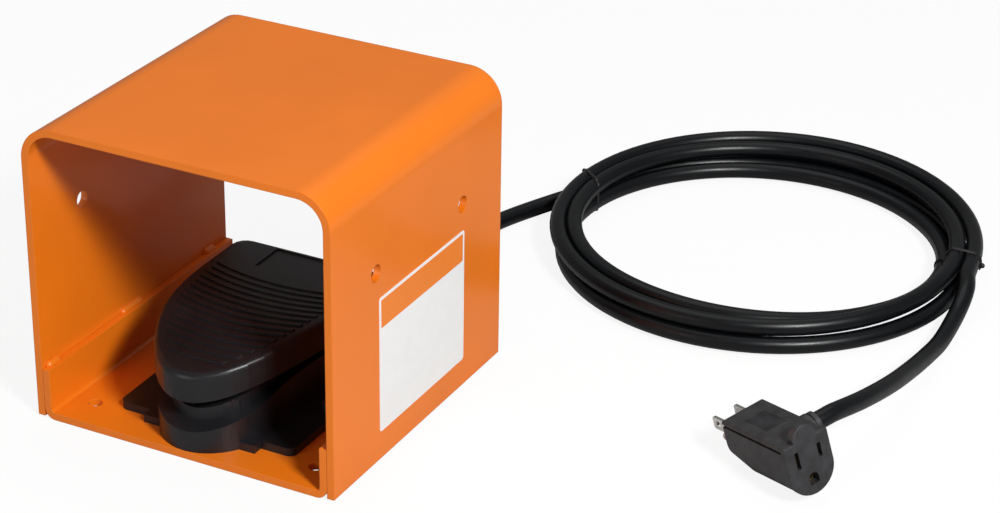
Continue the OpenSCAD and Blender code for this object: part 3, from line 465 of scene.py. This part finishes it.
@dataclass(frozen=True)
class Lamp:
    """A square soft lamp: place and side in metres, power in watts."""

    name: str
    place: Triple
    size: float
    power: float


@dataclass
class Studio:
    """Camera, lamps, floor and backdrop."""

    focal_px: float = 2777.45
    image_px: float = 1000.0
    sensor_mm: float = 36.0
    yaw: float = 0.4729
    pitch: float = 0.4665
    roll: float = 0.0157
    place_mm: Triple = (642.615, -1013.294, 673.856)
    floor_half: float = 4.0
    floor_drop: float = 0.0003
    floor_grey: float = 0.45
    floor_white: float = 0.95
    floor_glow: float = 0.88
    world_level: float = 0.2
    aim: Triple = (0.05, 0.05, 0.05)
    key_heading: Triple = (125.0, -80.0, 115.0)
    key_distance: float = 2.0
    key_size: float = 0.3
    key_power: float = 39.0
    fills: tuple[Lamp, ...] = (
        Lamp("overhead", (-0.2, 0.5, 1.7), 1.5, 7.0),
        Lamp("front_left", (-0.7, -1.7, 0.7), 0.9, 6.0),
    )

    def camera(self) -> None:
        """Places the camera where the photograph was taken from."""
        forward = Vector((-math.sin(self.yaw) * math.cos(self.pitch),
                          math.cos(self.yaw) * math.cos(self.pitch), -math.sin(self.pitch)))
        right = Vector((math.cos(self.yaw), math.sin(self.yaw), 0.0))
        up = right.cross(forward)
        c, s = math.cos(self.roll), math.sin(self.roll)
        x_axis = right * c + up * s
        y_axis = up * c - right * s
        turn = Matrix((x_axis, y_axis, -forward)).transposed().to_4x4()
        data = bpy.data.cameras.new("photo_camera")
        data.sensor_fit = "HORIZONTAL"
        data.sensor_width = self.sensor_mm
        data.lens = self.focal_px * self.sensor_mm / self.image_px
        data.clip_start, data.clip_end = 0.05, 50.0
        camera = bpy.data.objects.new("photo_camera", data)
        camera.matrix_world = Matrix.Translation(Vector(self.place_mm) * MM) @ turn
        bpy.context.scene.collection.objects.link(camera)
        bpy.context.scene.camera = camera

    def add_lamp(self, lamp: Lamp) -> None:
        """Adds a lamp that faces the aim."""
        data = bpy.data.lights.new(lamp.name, "AREA")
        data.shape = "SQUARE"
        data.size = lamp.size
        data.energy = lamp.power
        body = bpy.data.objects.new(lamp.name, data)
        body.location = lamp.place
        body.rotation_mode = "QUATERNION"
        body.rotation_quaternion = (Vector(self.aim) - Vector(lamp.place)).to_track_quat("-Z", "Y")
        bpy.context.scene.collection.objects.link(body)

    def lamps(self) -> None:
        """Adds the key lamp and the fills."""
        key = Vector(self.aim) + self.key_distance * Vector(self.key_heading).normalized()
        for lamp in (Lamp("key_right", tuple(key), self.key_size, self.key_power), *self.fills):
            self.add_lamp(lamp)

    def floor(self) -> None:
        """Lays a pale floor that keeps the object's shadow."""
        half, low = self.floor_half, -self.floor_drop
        corners = [Vector((x * half, y * half, low)) for x, y in ((-1, -1), (1, -1), (1, 1), (-1, 1))]
        floor = mesh_piece("floor", corners, [(0, 1, 2, 3)])
        sheet = NodeSheet("floor_white")
        grey, white = self.floor_grey, self.floor_white
        sheet.set(Base_Color=(grey, grey, grey, 1), Roughness=0.9, Specular_IOR_Level=0.1)
        glow = sheet.add("ShaderNodeEmission", Color=(1, 1, 1, 1), Strength=1.0)
        paper = sheet.add("ShaderNodeBsdfDiffuse", Color=(white, white, white, 1))
        soft = sheet.add("ShaderNodeMixShader", Fac=self.floor_glow)
        sheet.join(paper.outputs[0], soft.inputs[1])
        sheet.join(glow.outputs[0], soft.inputs[2])
        mix_for_camera(sheet.tree, sheet.shader.outputs[0], soft.outputs[0], sheet.output.inputs["Surface"])
        floor.data.materials.append(sheet.material)

    def world(self) -> None:
        """Lights evenly from all round and shows white behind."""
        world = bpy.data.worlds.new("studio_world")
        bpy.context.scene.world = world
        world.use_nodes = True
        tree = world.node_tree
        tree.nodes.clear()
        output = tree.nodes.new("ShaderNodeOutputWorld")
        plain = tree.nodes.new("ShaderNodeBackground")
        white = tree.nodes.new("ShaderNodeBackground")
        for node, level in ((plain, self.world_level), (white, 1.0)):
            node.inputs["Color"].default_value = (1, 1, 1, 1)
            node.inputs["Strength"].default_value = level
        mix_for_camera(tree, plain.outputs[0], white.outputs[0], output.inputs["Surface"])

    def build(self) -> None:
        """Builds the whole studio."""
        bpy.context.scene.view_settings.view_transform = "Standard"
        self.camera()
        self.world()
        self.floor()
        self.lamps()
        LOG.info("studio: camera, world, floor and lamps")


class Shell:
    """Points and faces of one mesh, gathered ring by ring in millimetres."""

    def __init__(self, pose: Matrix) -> None:
        """Starts an empty shell.

        Args:
            pose: Where the shell's own frame lies, in metres.
        """
        self.pose = pose
        self.points: list[Vector] = []
        self.faces: list[tuple[int, ...]] = []

    def ring(self, corners: Sequence[Triple]) -> list[int]:
        """Adds corners and returns their numbers."""
        start = len(self.points)
        self.points += [self.pose @ (Vector(c) * MM) for c in corners]
        return list(range(start, len(self.points)))

    def bridge(self, first: Sequence[int], second: Sequence[int], opened: bool = False) -> None:
        """Joins two rings of equal length by quads.

        Args:
            first: Numbers of the first ring.
            second: Numbers of the second ring.
            opened: Whether the stretch from the last corner to the first stays open.
        """
        n = len(first)
        for i in range(n - 1 if opened else n):
            k = (i + 1) % n
            self.faces.append((first[i], first[k], second[k], second[i]))

    def cap(self, rim: Sequence[int], holes: Sequence[Sequence[int]] = ()) -> None:
        """Closes a flat rim, leaving holes.

        Args:
            rim: Numbers of the outer ring.
            holes: Numbers of each inner ring.
        """
        loops = [list(rim), *[list(h) for h in holes]]
        flat = [i for loop in loops for i in loop]
        for tri in tessellate_polygon([[self.points[i] for i in loop] for loop in loops]):
            self.faces.append(tuple(flat[k] for k in tri))

    def pocket(self, rim: Sequence[Triple], deep: Vector) -> list[int]:
        """Sinks a flat-bottomed pocket.

        Args:
            rim: Corners of the pocket's mouth.
            deep: Way from the mouth to the bottom.

        Returns:
            The numbers of the rim, for the cap around it.
        """
        mouth = self.ring(rim)
        bottom = self.ring([tuple(Vector(c) + deep) for c in rim])
        self.bridge(mouth, bottom)
        self.cap(bottom)
        return mouth

    def prism(self, rim: Sequence[Triple], way: Vector, holes: Sequence[Sequence[Triple]] = ()) -> None:
        """Adds a closed prism, with holes through it.

        Args:
            rim: Corners of one end.
            way: Way to the other end.
            holes: Corners of each hole at the first end.
        """
        loops = [rim, *holes]
        near = [self.ring(loop) for loop in loops]
        far = [self.ring([tuple(Vector(c) + way) for c in loop]) for loop in loops]
        for one, other in zip(near, far):
            self.bridge(one, other)
        self.cap(near[0], near[1:])
        self.cap(far[0], far[1:])

    def loft(self, rings: Sequence[Sequence[int]]) -> None:
        """Joins rings of equal length one after another and closes both ends."""
        for one, other in zip(rings, rings[1:]):
            self.bridge(one, other)
        self.cap(rings[0])
        self.cap(rings[-1])

    def piece(self, name: str, smooth_angle: float = 32.0) -> bpy.types.Object:
        """Makes the mesh object with its faces turned outwards.

        Args:
            name: The object's name.
            smooth_angle: Edges sharper than this many degrees stay sharp.

        Returns:
            The linked object.
        """
        piece = mesh_piece(name, self.points, self.faces, smooth_angle)
        mesh = bmesh.new()
        mesh.from_mesh(piece.data)
        bmesh.ops.recalc_face_normals(mesh, faces=mesh.faces)
        mesh.to_mesh(piece.data)
        mesh.free()
        return piece


@dataclass
class Plug:
    """Pass-through plug: body, receptacle face, lug, grip, collar, blades."""

    palette: Palette
    face: Triple = (272.6, 21.8, 26.0)
    turn: Triple = (-10.05, -11.87, 61.02)
    half_width: float = 12.72
    length: float = 49.3
    up: float = 8.8
    down: float = 20.24
    tail_down: float = 16.0
    taper: float = 15.0
    end_round: Pair = (0.8, 0.7)
    flange: float = 2.4
    rim_round: float = 0.45
    round_share: float = 0.3
    body_inset: float = 0.3
    corner: float = 0.9
    bottom_steps: int = 28
    seam_top: float = 0.7
    seam_height: float = 1.5
    seam_slope: float = 0.15
    seam_deep: float = 1.1
    lug_radius: float = 6.7
    lug_lift: float = 0.3
    lug_deep: float = 4.3
    lug_sunk: Pair = (0.5, 1.0)
    lug_play: float = 0.02
    lug_steps: int = 20
    slot_x: float = 6.36
    slot_half: float = 1.05
    slot_halves: Pair = (4.5, 3.55)
    hole_deep: float = 16.0
    ground_drop: float = 11.9
    ground_half: float = 2.75
    ground_flat: float = 3.1
    grooves: int = 10
    groove_pitch: float = 1.72
    groove_width: float = 1.0
    groove_half: float = 5.8
    groove_deep: float = 0.8
    grip_middle: float = 30.0
    collar_from_face: float = 17.4
    collar_rise: float = 2.6
    collar_rings: tuple[Pair, ...] = (
        (-1.0, 6.1), (2.0, 6.1), (2.3, 5.9), (2.3, 5.1), (3.1, 5.1), (3.1, 5.8), (5.4, 5.8), (5.8, 5.4),
        (5.8, 4.55),
    )
    blade: Triple = (1.5, 6.35, 16.0)
    blade_root: float = 2.0
    blade_cut: float = 1.1
    blade_hole: Pair = (11.9, 1.6)
    pin_radius: float = 2.4
    pin_length: float = 20.5
    strip_start: float = 4.0
    strip_play: float = 0.5
    leaf: Pair = (0.45, 0.05)
    sleeve: Pair = (0.1, 0.5)
    names: tuple[str, ...] = ("plug_shell", "plug_prongs", "plug_earth_pin", "plug_strips")

    def matrix(self) -> Matrix:
        """The plug's pose in metres."""
        angles = Euler([math.radians(a) for a in self.turn], "XYZ")
        return Matrix.Translation(Vector(self.face) * MM) @ angles.to_matrix().to_4x4()

    def collar_end(self) -> Vector:
        """Centre of the collar's free end, in millimetres."""
        local = Vector((self.half_width + self.collar_rings[-1][0], self.collar_from_face, self.collar_rise))
        return (self.matrix() @ (local * MM)) / MM

    def collar_heading(self) -> Vector:
        """Direction in which the cord leaves the collar."""
        return (self.matrix().to_3x3() @ Vector((1, 0, 0))).normalized()

    def slots(self) -> list[Pair]:
        """Middle and half height of each blade slot."""
        return list(zip((-self.slot_x, self.slot_x), self.slot_halves))

    def section(self, y: float, inset: float, low: float, seam: float, lug: bool) -> list[Triple]:
        """Outline of the plug at a distance behind the face.

        Args:
            y: Distance behind the face.
            inset: How far the outline lies inside the full one.
            low: Depth of the round bottom below the slots.
            seam: Depth of the seam groove under the top edges.
            lug: Whether the outline takes in the lug above the face.

        Returns:
            Corners from the top right round the bottom to the top left.
        """
        w, top, c = self.half_width - inset, self.up - inset, self.corner
        cut, slope = c * self.round_share, self.seam_slope
        z = top - c - self.seam_top
        foot = z - self.seam_height
        right = [(w - c, top), (w - cut, top - cut), (w, top - c), (w, z), (w - seam, z - slope),
                 (w - seam, foot + slope), (w, foot)]
        left = [(-x, h) for x, h in reversed(right)]
        straight = -(low - w)
        bottom = [(w * u, straight + (w - inset) * v) for u, v in arc(1.0, 0, -180, self.bottom_steps)[1:-1]]
        over = []
        if lug:
            lift = self.up + self.lug_lift
            dome = [(x, lift + h) for x, h in arc(self.lug_radius - inset, 180, 0, self.lug_steps)]
            over = [(dome[0][0], top), *dome, (dome[-1][0], top)]
        return [(x, y, h) for x, h in (*right, (w, straight), *bottom, (-w, straight), *left, *over)]

    def mouths(self, shell: Shell) -> list[list[int]]:
        """Sinks the two blade slots and the arched ground hole.

        Args:
            shell: The body's shell.

        Returns:
            The rim of each opening.
        """
        deep = Vector((0, self.hole_deep, 0))
        half, g = self.slot_half, self.ground_half
        rims = [[(x - half, 0, -h), (x + half, 0, -h), (x + half, 0, h), (x - half, 0, h)]
                for x, h in self.slots()]
        flat = -self.ground_drop - self.ground_flat
        round_top = [(x, 0, z - self.ground_drop) for x, z in arc(g, 0, 180, 16)]
        rims.append([*round_top, (-g, 0, flat), (g, 0, flat)])
        return [shell.pocket(rim, deep) for rim in rims]

    def grip(self, shell: Shell, top: float) -> list[list[int]]:
        """Sinks the grip's grooves into the top.

        Args:
            shell: The body's shell.
            top: Height of the top face.

        Returns:
            The rim of each groove.
        """
        deep, half = Vector((0, 0, -self.groove_deep)), self.groove_half
        rims = []
        for k in range(self.grooves):
            y = self.grip_middle + (k - (self.grooves - 1) / 2) * self.groove_pitch
            a, b = y - self.groove_width / 2, y + self.groove_width / 2
            rims.append(shell.pocket([(-half, a, top), (half, a, top), (half, b, top), (-half, b, top)], deep))
        return rims

    def body(self) -> bpy.types.Object:
        """The moulded body with its face, grip, lug and collar.

        Returns:
            The linked object.
        """
        shell = Shell(self.matrix())
        edge = self.rim_round * self.round_share
        starts = ((0.0, self.rim_round), (edge, edge), (self.rim_round, 0.0), (self.flange, 0.0))
        front = [shell.ring(self.section(y, size, self.down, 0.0, True)) for y, size in starts]
        for one, other in zip(front, front[1:]):
            shell.bridge(one, other)
        shell.cap(front[0], self.mouths(shell))
        inset, (back, more) = self.body_inset, self.end_round
        stops = ((self.flange, inset, self.down), (self.length - self.taper, inset, self.down),
                 (self.length - back, inset, self.tail_down), (self.length, inset + more, self.tail_down))
        trunk = [shell.ring(self.section(y, size, low, self.seam_deep, False)) for y, size, low in stops]
        shell.cap(front[-1], [trunk[0]])
        for one, other in zip(trunk[:3], trunk[1:3]):
            shell.bridge(one, other, True)
        shell.bridge(trunk[2], trunk[3])
        shell.cap(trunk[3])
        top_rim = [*(r[-1] for r in trunk[:3]), *(r[0] for r in reversed(trunk[:3]))]
        shell.cap(top_rim, self.grip(shell, self.up - inset))
        r, (sunk, foot) = self.lug_radius - self.lug_play, self.lug_sunk
        start = self.flange - sunk
        dome = [(x, start, self.up + self.lug_lift + z) for x, z in arc(r, 0, 180, self.lug_steps)]
        shell.prism([*dome, (-r, start, self.up - foot), (r, start, self.up - foot)],
                    Vector((0, self.lug_deep - start, 0)))
        shell.loft([shell.ring([(self.half_width + x, self.collar_from_face + u, self.collar_rise + v)
                                for u, v in circle(radius, 40)]) for x, radius in self.collar_rings])
        piece = shell.piece(self.names[0])
        self.palette.paint(piece, Slot.PLUG_MOULDING)
        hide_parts("plug_body")
        return piece

    def prongs(self) -> bpy.types.Object:
        """The two blades with the hole near each tip.

        Returns:
            The linked object.
        """
        shell = Shell(self.matrix())
        thick, height, long = self.blade
        y0, y1, h, cut = self.length - self.blade_root, self.length + long, height / 2, self.blade_cut
        less = cut * self.round_share
        lower = [(y0, -h), (y1 - cut, -h), (y1 - less, -h + less), (y1, -h + cut)]
        outline = [*lower, *((y, -z) for y, z in reversed(lower))]
        middle, radius = self.length + self.blade_hole[0], self.blade_hole[1]
        for x, _ in self.slots():
            near = x - thick / 2
            hole = [(near, middle + u, v) for u, v in circle(radius, 20)]
            shell.prism([(near, y, z) for y, z in outline], Vector((thick, 0, 0)), [hole])
        piece = shell.piece(self.names[1])
        self.palette.paint(piece, Slot.NICKEL)
        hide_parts("plug_blades")
        return piece

    def earth_pin(self) -> bpy.types.Object:
        """The round ground pin with its domed tip.

        Returns:
            The linked object.
        """
        shell = Shell(self.matrix())
        dome = self.length + self.pin_length - self.pin_radius
        steps = [(self.length - self.blade_root, self.pin_radius)]
        steps += [(dome + v, u) for u, v in arc(self.pin_radius, 0, 80, 8)]
        shell.loft([shell.ring([(u, y, v - self.ground_drop) for u, v in circle(r, 28)]) for y, r in steps])
        piece = shell.piece(self.names[2], 40.0)
        self.palette.paint(piece, Slot.NICKEL)
        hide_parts("plug_ground_pin")
        return piece

    def strips(self) -> bpy.types.Object:
        """The contact leaves in the slots and the sleeve in the ground hole.

        Returns:
            The linked object.
        """
        shell = Shell(self.matrix())
        near, play = self.strip_start, self.strip_play
        way = Vector((0, self.hole_deep - play - near, 0))
        for x, h in self.slots():
            for side in (-1, 1):
                a, b = (x + side * (self.slot_half - gap) for gap in self.leaf)
                z = h - play
                shell.prism([(a, near, -z), (b, near, -z), (b, near, z), (a, near, z)], way)
        outer, inner = ([(u, near, v - self.ground_drop) for u, v in circle(self.ground_half - gap, 24)]
                        for gap in self.sleeve)
        shell.prism(outer, way, [inner])
        piece = shell.piece(self.names[3])
        self.palette.paint(piece, Slot.BRASS)
        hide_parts("plug_contacts")
        return piece

    def build(self) -> None:
        for piece in (self.body(), self.prongs(), self.earth_pin(), self.strips()):
            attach(piece, Body.GUARD.value)
            LOG.info("plug: %s, %d faces", piece.name, len(piece.data.polygons))


@dataclass
class Cord:
    """The mains cord: lead, coil and tail as one length."""

    palette: Palette
    plug: Plug
    diameter: float = 9.0
    exit: Triple = (0.0, 70.85, 14.0)
    real_length: float = 2.74
    coil_centre: Pair = (156.0, 242.5)
    coil_radius: float = 98.0
    coil_pitch: float = 10.2
    swell_span: float = 0.25
    swells: tuple[Triple, ...] = (
        (2.4167, -2.2, 0.0), (2.62, 1.2, -1.3), (2.95, -2.0, 0.0), (3.16, 5.0, 0.0), (3.4167, -3.4, 0.0),
    )
    coil_turns: float = 3.4167
    coil_reverse_turn: float = 1.53
    climb_span: float = 0.5
    layer_shift: Pair = (-1.0, 7.0)
    coil_start: float = 160.0
    low: float = 5.6
    layer: float = 9.5
    per_turn: int = 96
    per_stretch: int = 10
    sides: int = 24
    lead: tuple[Triple, ...] = (
        (0, 92, 11.5), (1, 108, 8), (2.5, 127, 5.2), (5.5, 152, 4.6),
        (10.5, 180, 4.6), (17.5, 209, 4.6), (28.5, 236, 4.8),
    )
    tail: tuple[Triple, ...] = (
        (274.5, 237.7, 13.4), (275.5, 222.4, 7.2),
        (277, 195, 4.8), (277.4, 173.1, 7), (278, 143.9, 12.5), (278.4, 111.8, 20),
        (276, 79.8, 27),
    )

    def swell(self, turn: float) -> Pair:
        """How far a turn lies wider and higher than an even coil's.

        Args:
            turn: Number of turns from the coil's start.

        Returns:
            The two distances in millimetres.
        """
        wide = high = 0.0
        for middle, wider, higher in self.swells:
            away = abs(turn - middle) / self.swell_span
            if away < 1:
                share = math.cos(math.pi / 2 * away) ** 2
                wide += wider * share
                high += higher * share
        return wide, high

    def coil_at(self, turn: float) -> Vector:
        """Point of the coil's centreline after a number of turns.

        Args:
            turn: Number of turns from the coil's start.

        Returns:
            The point in millimetres.
        """
        wide, high = self.swell(turn)
        past = turn - self.coil_reverse_turn
        radius = self.coil_radius + self.coil_pitch * abs(past) + wide
        angle = math.radians(self.coil_start - 360 * turn)
        climb = min(1.0, max(0.0, past / self.climb_span + 0.5))
        rise = climb * climb * (3 - 2 * climb)
        return Vector((self.coil_centre[0] + radius * math.cos(angle) + self.layer_shift[0] * rise,
                       self.coil_centre[1] + radius * math.sin(angle) + self.layer_shift[1] * rise,
                       self.low + self.layer * rise + high))

    def coil_heading(self, turn: float) -> Vector:
        """Direction of travel round the coil."""
        angle = math.radians(self.coil_start - 360 * turn)
        return Vector((math.sin(angle), -math.cos(angle), 0.0))

    @staticmethod
    def smooth(points: Sequence[Vector], steps: int) -> list[Vector]:
        """A smooth curve through points, without the first and the last.

        Args:
            points: The points, with one extra at each end.
            steps: Samples to a stretch.

        Returns:
            The sampled curve.
        """
        out: list[Vector] = []
        for i in range(1, len(points) - 2):
            a, b, c, d = points[i - 1], points[i], points[i + 1], points[i + 2]
            for k in range(steps):
                s = k / steps
                out.append(0.5 * (2 * b + (c - a) * s + (2 * a - 5 * b + 4 * c - d) * s * s
                                  + (3 * b - a - 3 * c + d) * s * s * s))
        out.append(points[-2])
        return out

    def path(self) -> list[Vector]:
        """The whole centreline from strain relief to plug.

        Returns:
            Its points in metres.
        """
        start = Vector(self.exit)
        first = self.coil_heading(0)
        last = self.coil_heading(self.coil_turns)
        begin = self.coil_at(0) - self.diameter * first
        finish = self.coil_at(self.coil_turns) + self.diameter * last
        lead = self.smooth(
            [start, start + Vector((0, self.diameter, 0)), *map(Vector, self.lead),
             begin - self.diameter * first, begin], self.per_stretch)
        rings = round(self.coil_turns * self.per_turn)
        coil = [self.coil_at(self.coil_turns * i / rings) for i in range(rings + 1)]
        end = self.plug.collar_end()
        tail = self.smooth(
            [finish, finish + self.diameter * last, *map(Vector, self.tail),
             end + self.diameter * self.plug.collar_heading(), end], self.per_stretch)
        whole = [start, *lead, begin, *coil, finish, *tail, end]
        return [p * MM for p in whole]

    def build(self) -> None:
        path = self.path()
        cord = tube_mesh("mains_cord", path, self.diameter / 2 * MM, self.sides)
        self.palette.paint(cord, Slot.CORD_JACKET)
        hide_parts("cord_lead", "cord_coil", "cord_tail")
        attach(cord, Body.GUARD.value)
        measured = sum((b - a).length for a, b in zip(path, path[1:]))
        LOG.info("cord: %.3f m along its centreline", measured)


@dataclass
class Guard:
    """Bent plate hood, floor pan, welds and the blank label plate."""

    palette: Palette
    half_width: float = 82.5
    label_y: Pair = (-38.95, 43.25)
    label_z: Pair = (15.5, 86.0)
    label_thick: float = 0.18
    label_corner: float = 1.6
    band_height: float = 14.5
    band_margin: float = 1.6
    band_corner: float = 0.4

    def plate_piece(self, name: str, y: Pair, z: Pair, x: float, thick: float,
                    corner: float, material: bpy.types.Material) -> None:
        """A thin plate with rounded corners on the right wall.

        Args:
            name: The piece's name.
            y: Its span along the guard.
            z: Its span in height.
            x: Its inner face.
            thick: Its thickness.
            corner: Its corner radius.
            material: Its material.
        """
        low_y, high_y, low_z, high_z = y[0] + corner, y[1] - corner, z[0] + corner, z[1] - corner
        corners = ((high_y, high_z, 0), (low_y, high_z, 90), (low_y, low_z, 180), (high_y, low_z, 270))
        outline = [(cy + u, cz + v) for cy, cz, start in corners for u, v in arc(corner, start, start + 90, 6)]
        n = len(outline)
        points = [Vector((x, a, b)) * MM for a, b in outline]
        points += [Vector((x + thick, a, b)) * MM for a, b in outline]
        faces = [(i, (i + 1) % n, n + (i + 1) % n, n + i) for i in range(n)]
        faces.append(tuple(range(n - 1, -1, -1)))
        faces.append(tuple(range(n, 2 * n)))
        piece = mesh_piece(name, points, faces, 30.0)
        piece.data.materials.append(material)
        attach(piece, Body.GUARD.value)

    def label(self) -> None:
        """A blank label plate with a plain band along its top."""
        self.plate_piece("label_plate", self.label_y, self.label_z, self.half_width, self.label_thick,
                         self.label_corner, self.palette.label_white)
        m = self.band_margin
        top = self.label_z[1] - m
        self.plate_piece("label_band", (self.label_y[0] + m, self.label_y[1] - m),
                         (top - self.band_height, top), self.half_width + self.label_thick,
                         self.label_thick / 3, self.band_corner, self.palette.label_band)

    def build(self) -> None:
        """Dresses the plates and adds the label."""
        for name in ("guard_hood", "floor_pan", "weld_beads"):
            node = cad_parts[name]
            self.palette.paint(node, Slot.GUARD_PAINT, False)
            smooth_shade(node)
        self.label()
        LOG.info("guard: hood, pan, welds and label plate")


@dataclass
class Treadle:
    """Pedal, base and everything between them."""

    palette: Palette
    looks: dict[Slot, tuple[str, ...]] = field(default_factory=lambda: {
        Slot.BLACK_MOULDING: ("switch_base", "base_cover", "pedal"),
        Slot.ZINC: ("cover_screws", "mounting_screws", "hinge_pin", "pin_clips", "switch_bracket",
                    "bracket_screws", "switch_screws", "cord_clamp", "clamp_screws"),
        Slot.SPRING_STEEL: ("return_spring", "switch_lever"),
        Slot.SWITCH_CASE: ("snap_switch",),
        Slot.BRASS: ("switch_terminals",),
        Slot.PLUNGER: ("switch_plunger",),
        Slot.LEAD_COVER: ("internal_leads",),
        Slot.CORD_JACKET: ("cord_stub", "cord_gland"),
    })
    rounded: dict[str, float] = field(default_factory=lambda: {
        "switch_base": 0.6, "pedal": 0.3, "mounting_screws": 0.15, "snap_switch": 0.2, "cord_gland": 0.25,
    })

    def build(self) -> None:
        """Dresses the foot switch."""
        count = 0
        for slot, names in self.looks.items():
            for name in names:
                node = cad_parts[name]
                self.palette.paint(node, slot, False)
                if name in self.rounded:
                    soften(node, self.rounded[name] * MM)
                count += 1
        LOG.info("foot switch: %d nodes dressed", count)


@dataclass(frozen=True)
class TiePlace:
    """A tie's line across the strands, seen from above in millimetres."""

    name: str
    replaced: str
    inner: Pair
    outer: Pair
    knot_angle: float


@dataclass
class Ties:
    """The coil's two ties: thin bands drawn tight round the strands."""

    palette: Palette
    cord: Cord
    width: float = 1.7
    thick: float = 0.7
    slack: float = 0.12
    samples: int = 96
    reach: float = 6.0
    knot: Triple = (1.7, 1.3, 1.5)
    knot_out: float = 0.4
    knot_rings: tuple[Pair, ...] = (
        (-1.0, 0.05), (-0.85, 0.55), (-0.5, 0.88), (0.0, 1.0), (0.5, 0.88), (0.85, 0.55), (1.0, 0.05),
    )
    stub: float = 4.0
    places: tuple[TiePlace, ...] = (
        TiePlace("tie_left", "coil_tie_left", (63.2, 244.4), (30.2, 275.3), 20.0),
        TiePlace("tie_right", "coil_tie_right", (247.1, 269.6), (273.3, 268.1), -15.0),
    )

    def strands(self, place: TiePlace) -> tuple[Matrix, list[Pair]]:
        """Finds where the cord crosses the tie's upright plane.

        Args:
            place: The tie's line.

        Returns:
            The plane's pose in metres, and each crossing along it and in height.
        """
        origin = Vector((*place.inner, 0.0))
        along = Vector((*place.outer, 0.0)) - origin
        span = along.length
        along.normalize()
        across = Vector((0, 0, 1)).cross(along)
        path = [p / MM - origin for p in self.cord.path()]
        found: list[Pair] = []
        for a, b in zip(path, path[1:]):
            da, db = a.dot(across), b.dot(across)
            if (da < 0) != (db < 0):
                point = a.lerp(b, da / (da - db))
                if -self.reach < point.dot(along) < span + self.reach:
                    found.append((point.dot(along), point.z))
        turn = Matrix((along, across, Vector((0, 0, 1)))).transposed().to_4x4()
        return Matrix.Translation(origin * MM) @ turn, found

    def edge(self, centres: Sequence[Pair], u: float, v: float, radius: float) -> Pair:
        """Point in one direction of a band drawn tight round circles.

        Args:
            centres: The circles' centres.
            u: The direction's share along the plane.
            v: Its share upwards.
            radius: The circles' radius.

        Returns:
            The point.
        """
        far = max(centres, key=lambda c: c[0] * u + c[1] * v)
        return far[0] + radius * u, far[1] + radius * v

    def knotted(self, shell: Shell, x: float, z: float) -> None:
        """Adds the knot and its cut end.

        Args:
            shell: The tie's shell.
            x: The knot's place along the plane.
            z: Its height.
        """
        a, b, c = self.knot
        shell.loft([shell.ring([(x + a * r * u, b * h, z + c * r * v) for u, v in circle(1.0, 16)])
                    for h, r in self.knot_rings])
        thin = self.thick / 2
        square = [(x + i * thin, 0, z + j * thin) for i, j in ((-1, 1), (1, 1), (1, -1), (-1, -1))]
        shell.prism(square, Vector((0.3, -self.stub, -0.5)))

    def tie(self, place: TiePlace) -> None:
        """Builds one tie with its knot.

        Args:
            place: The tie's line.
        """
        pose, centres = self.strands(place)
        shell = Shell(pose)
        inner = self.cord.diameter / 2 + self.slack
        outer, half = inner + self.thick, self.width / 2
        rings = []
        for radius, y in ((inner, -half), (outer, -half * 0.7), (outer, half * 0.7), (inner, half)):
            points = [self.edge(centres, u, v, radius) for u, v in circle(1.0, self.samples)]
            rings.append(shell.ring([(x, y, z) for x, z in points]))
        for one, other in zip(rings, [*rings[1:], rings[0]]):
            shell.bridge(one, other)
        heading = math.radians(place.knot_angle)
        self.knotted(shell, *self.edge(centres, math.cos(heading), math.sin(heading), outer + self.knot_out))
        piece = shell.piece(place.name)
        self.palette.paint(piece, Slot.TIE_PLASTIC)
        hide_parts(place.replaced)
        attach(piece, Body.GUARD.value)
        LOG.info("ties: %s round %d strands", place.name, len(centres))

    def build(self) -> None:
        """Builds both ties."""
        for place in self.places:
            self.tie(place)


def main() -> None:
    """Builds the studio and every sub-assembly in order."""
    logging.basicConfig(level=logging.INFO, format="%(name)s: %(message)s")
    Studio().build()
    palette = Palette()
    plug = Plug(palette)
    plug.build()
    cord = Cord(palette, plug)
    Ties(palette, cord).build()
    cord.build()
    Guard(palette).build()
    Treadle(palette).build()


if __name__ == "__main__":
    main()
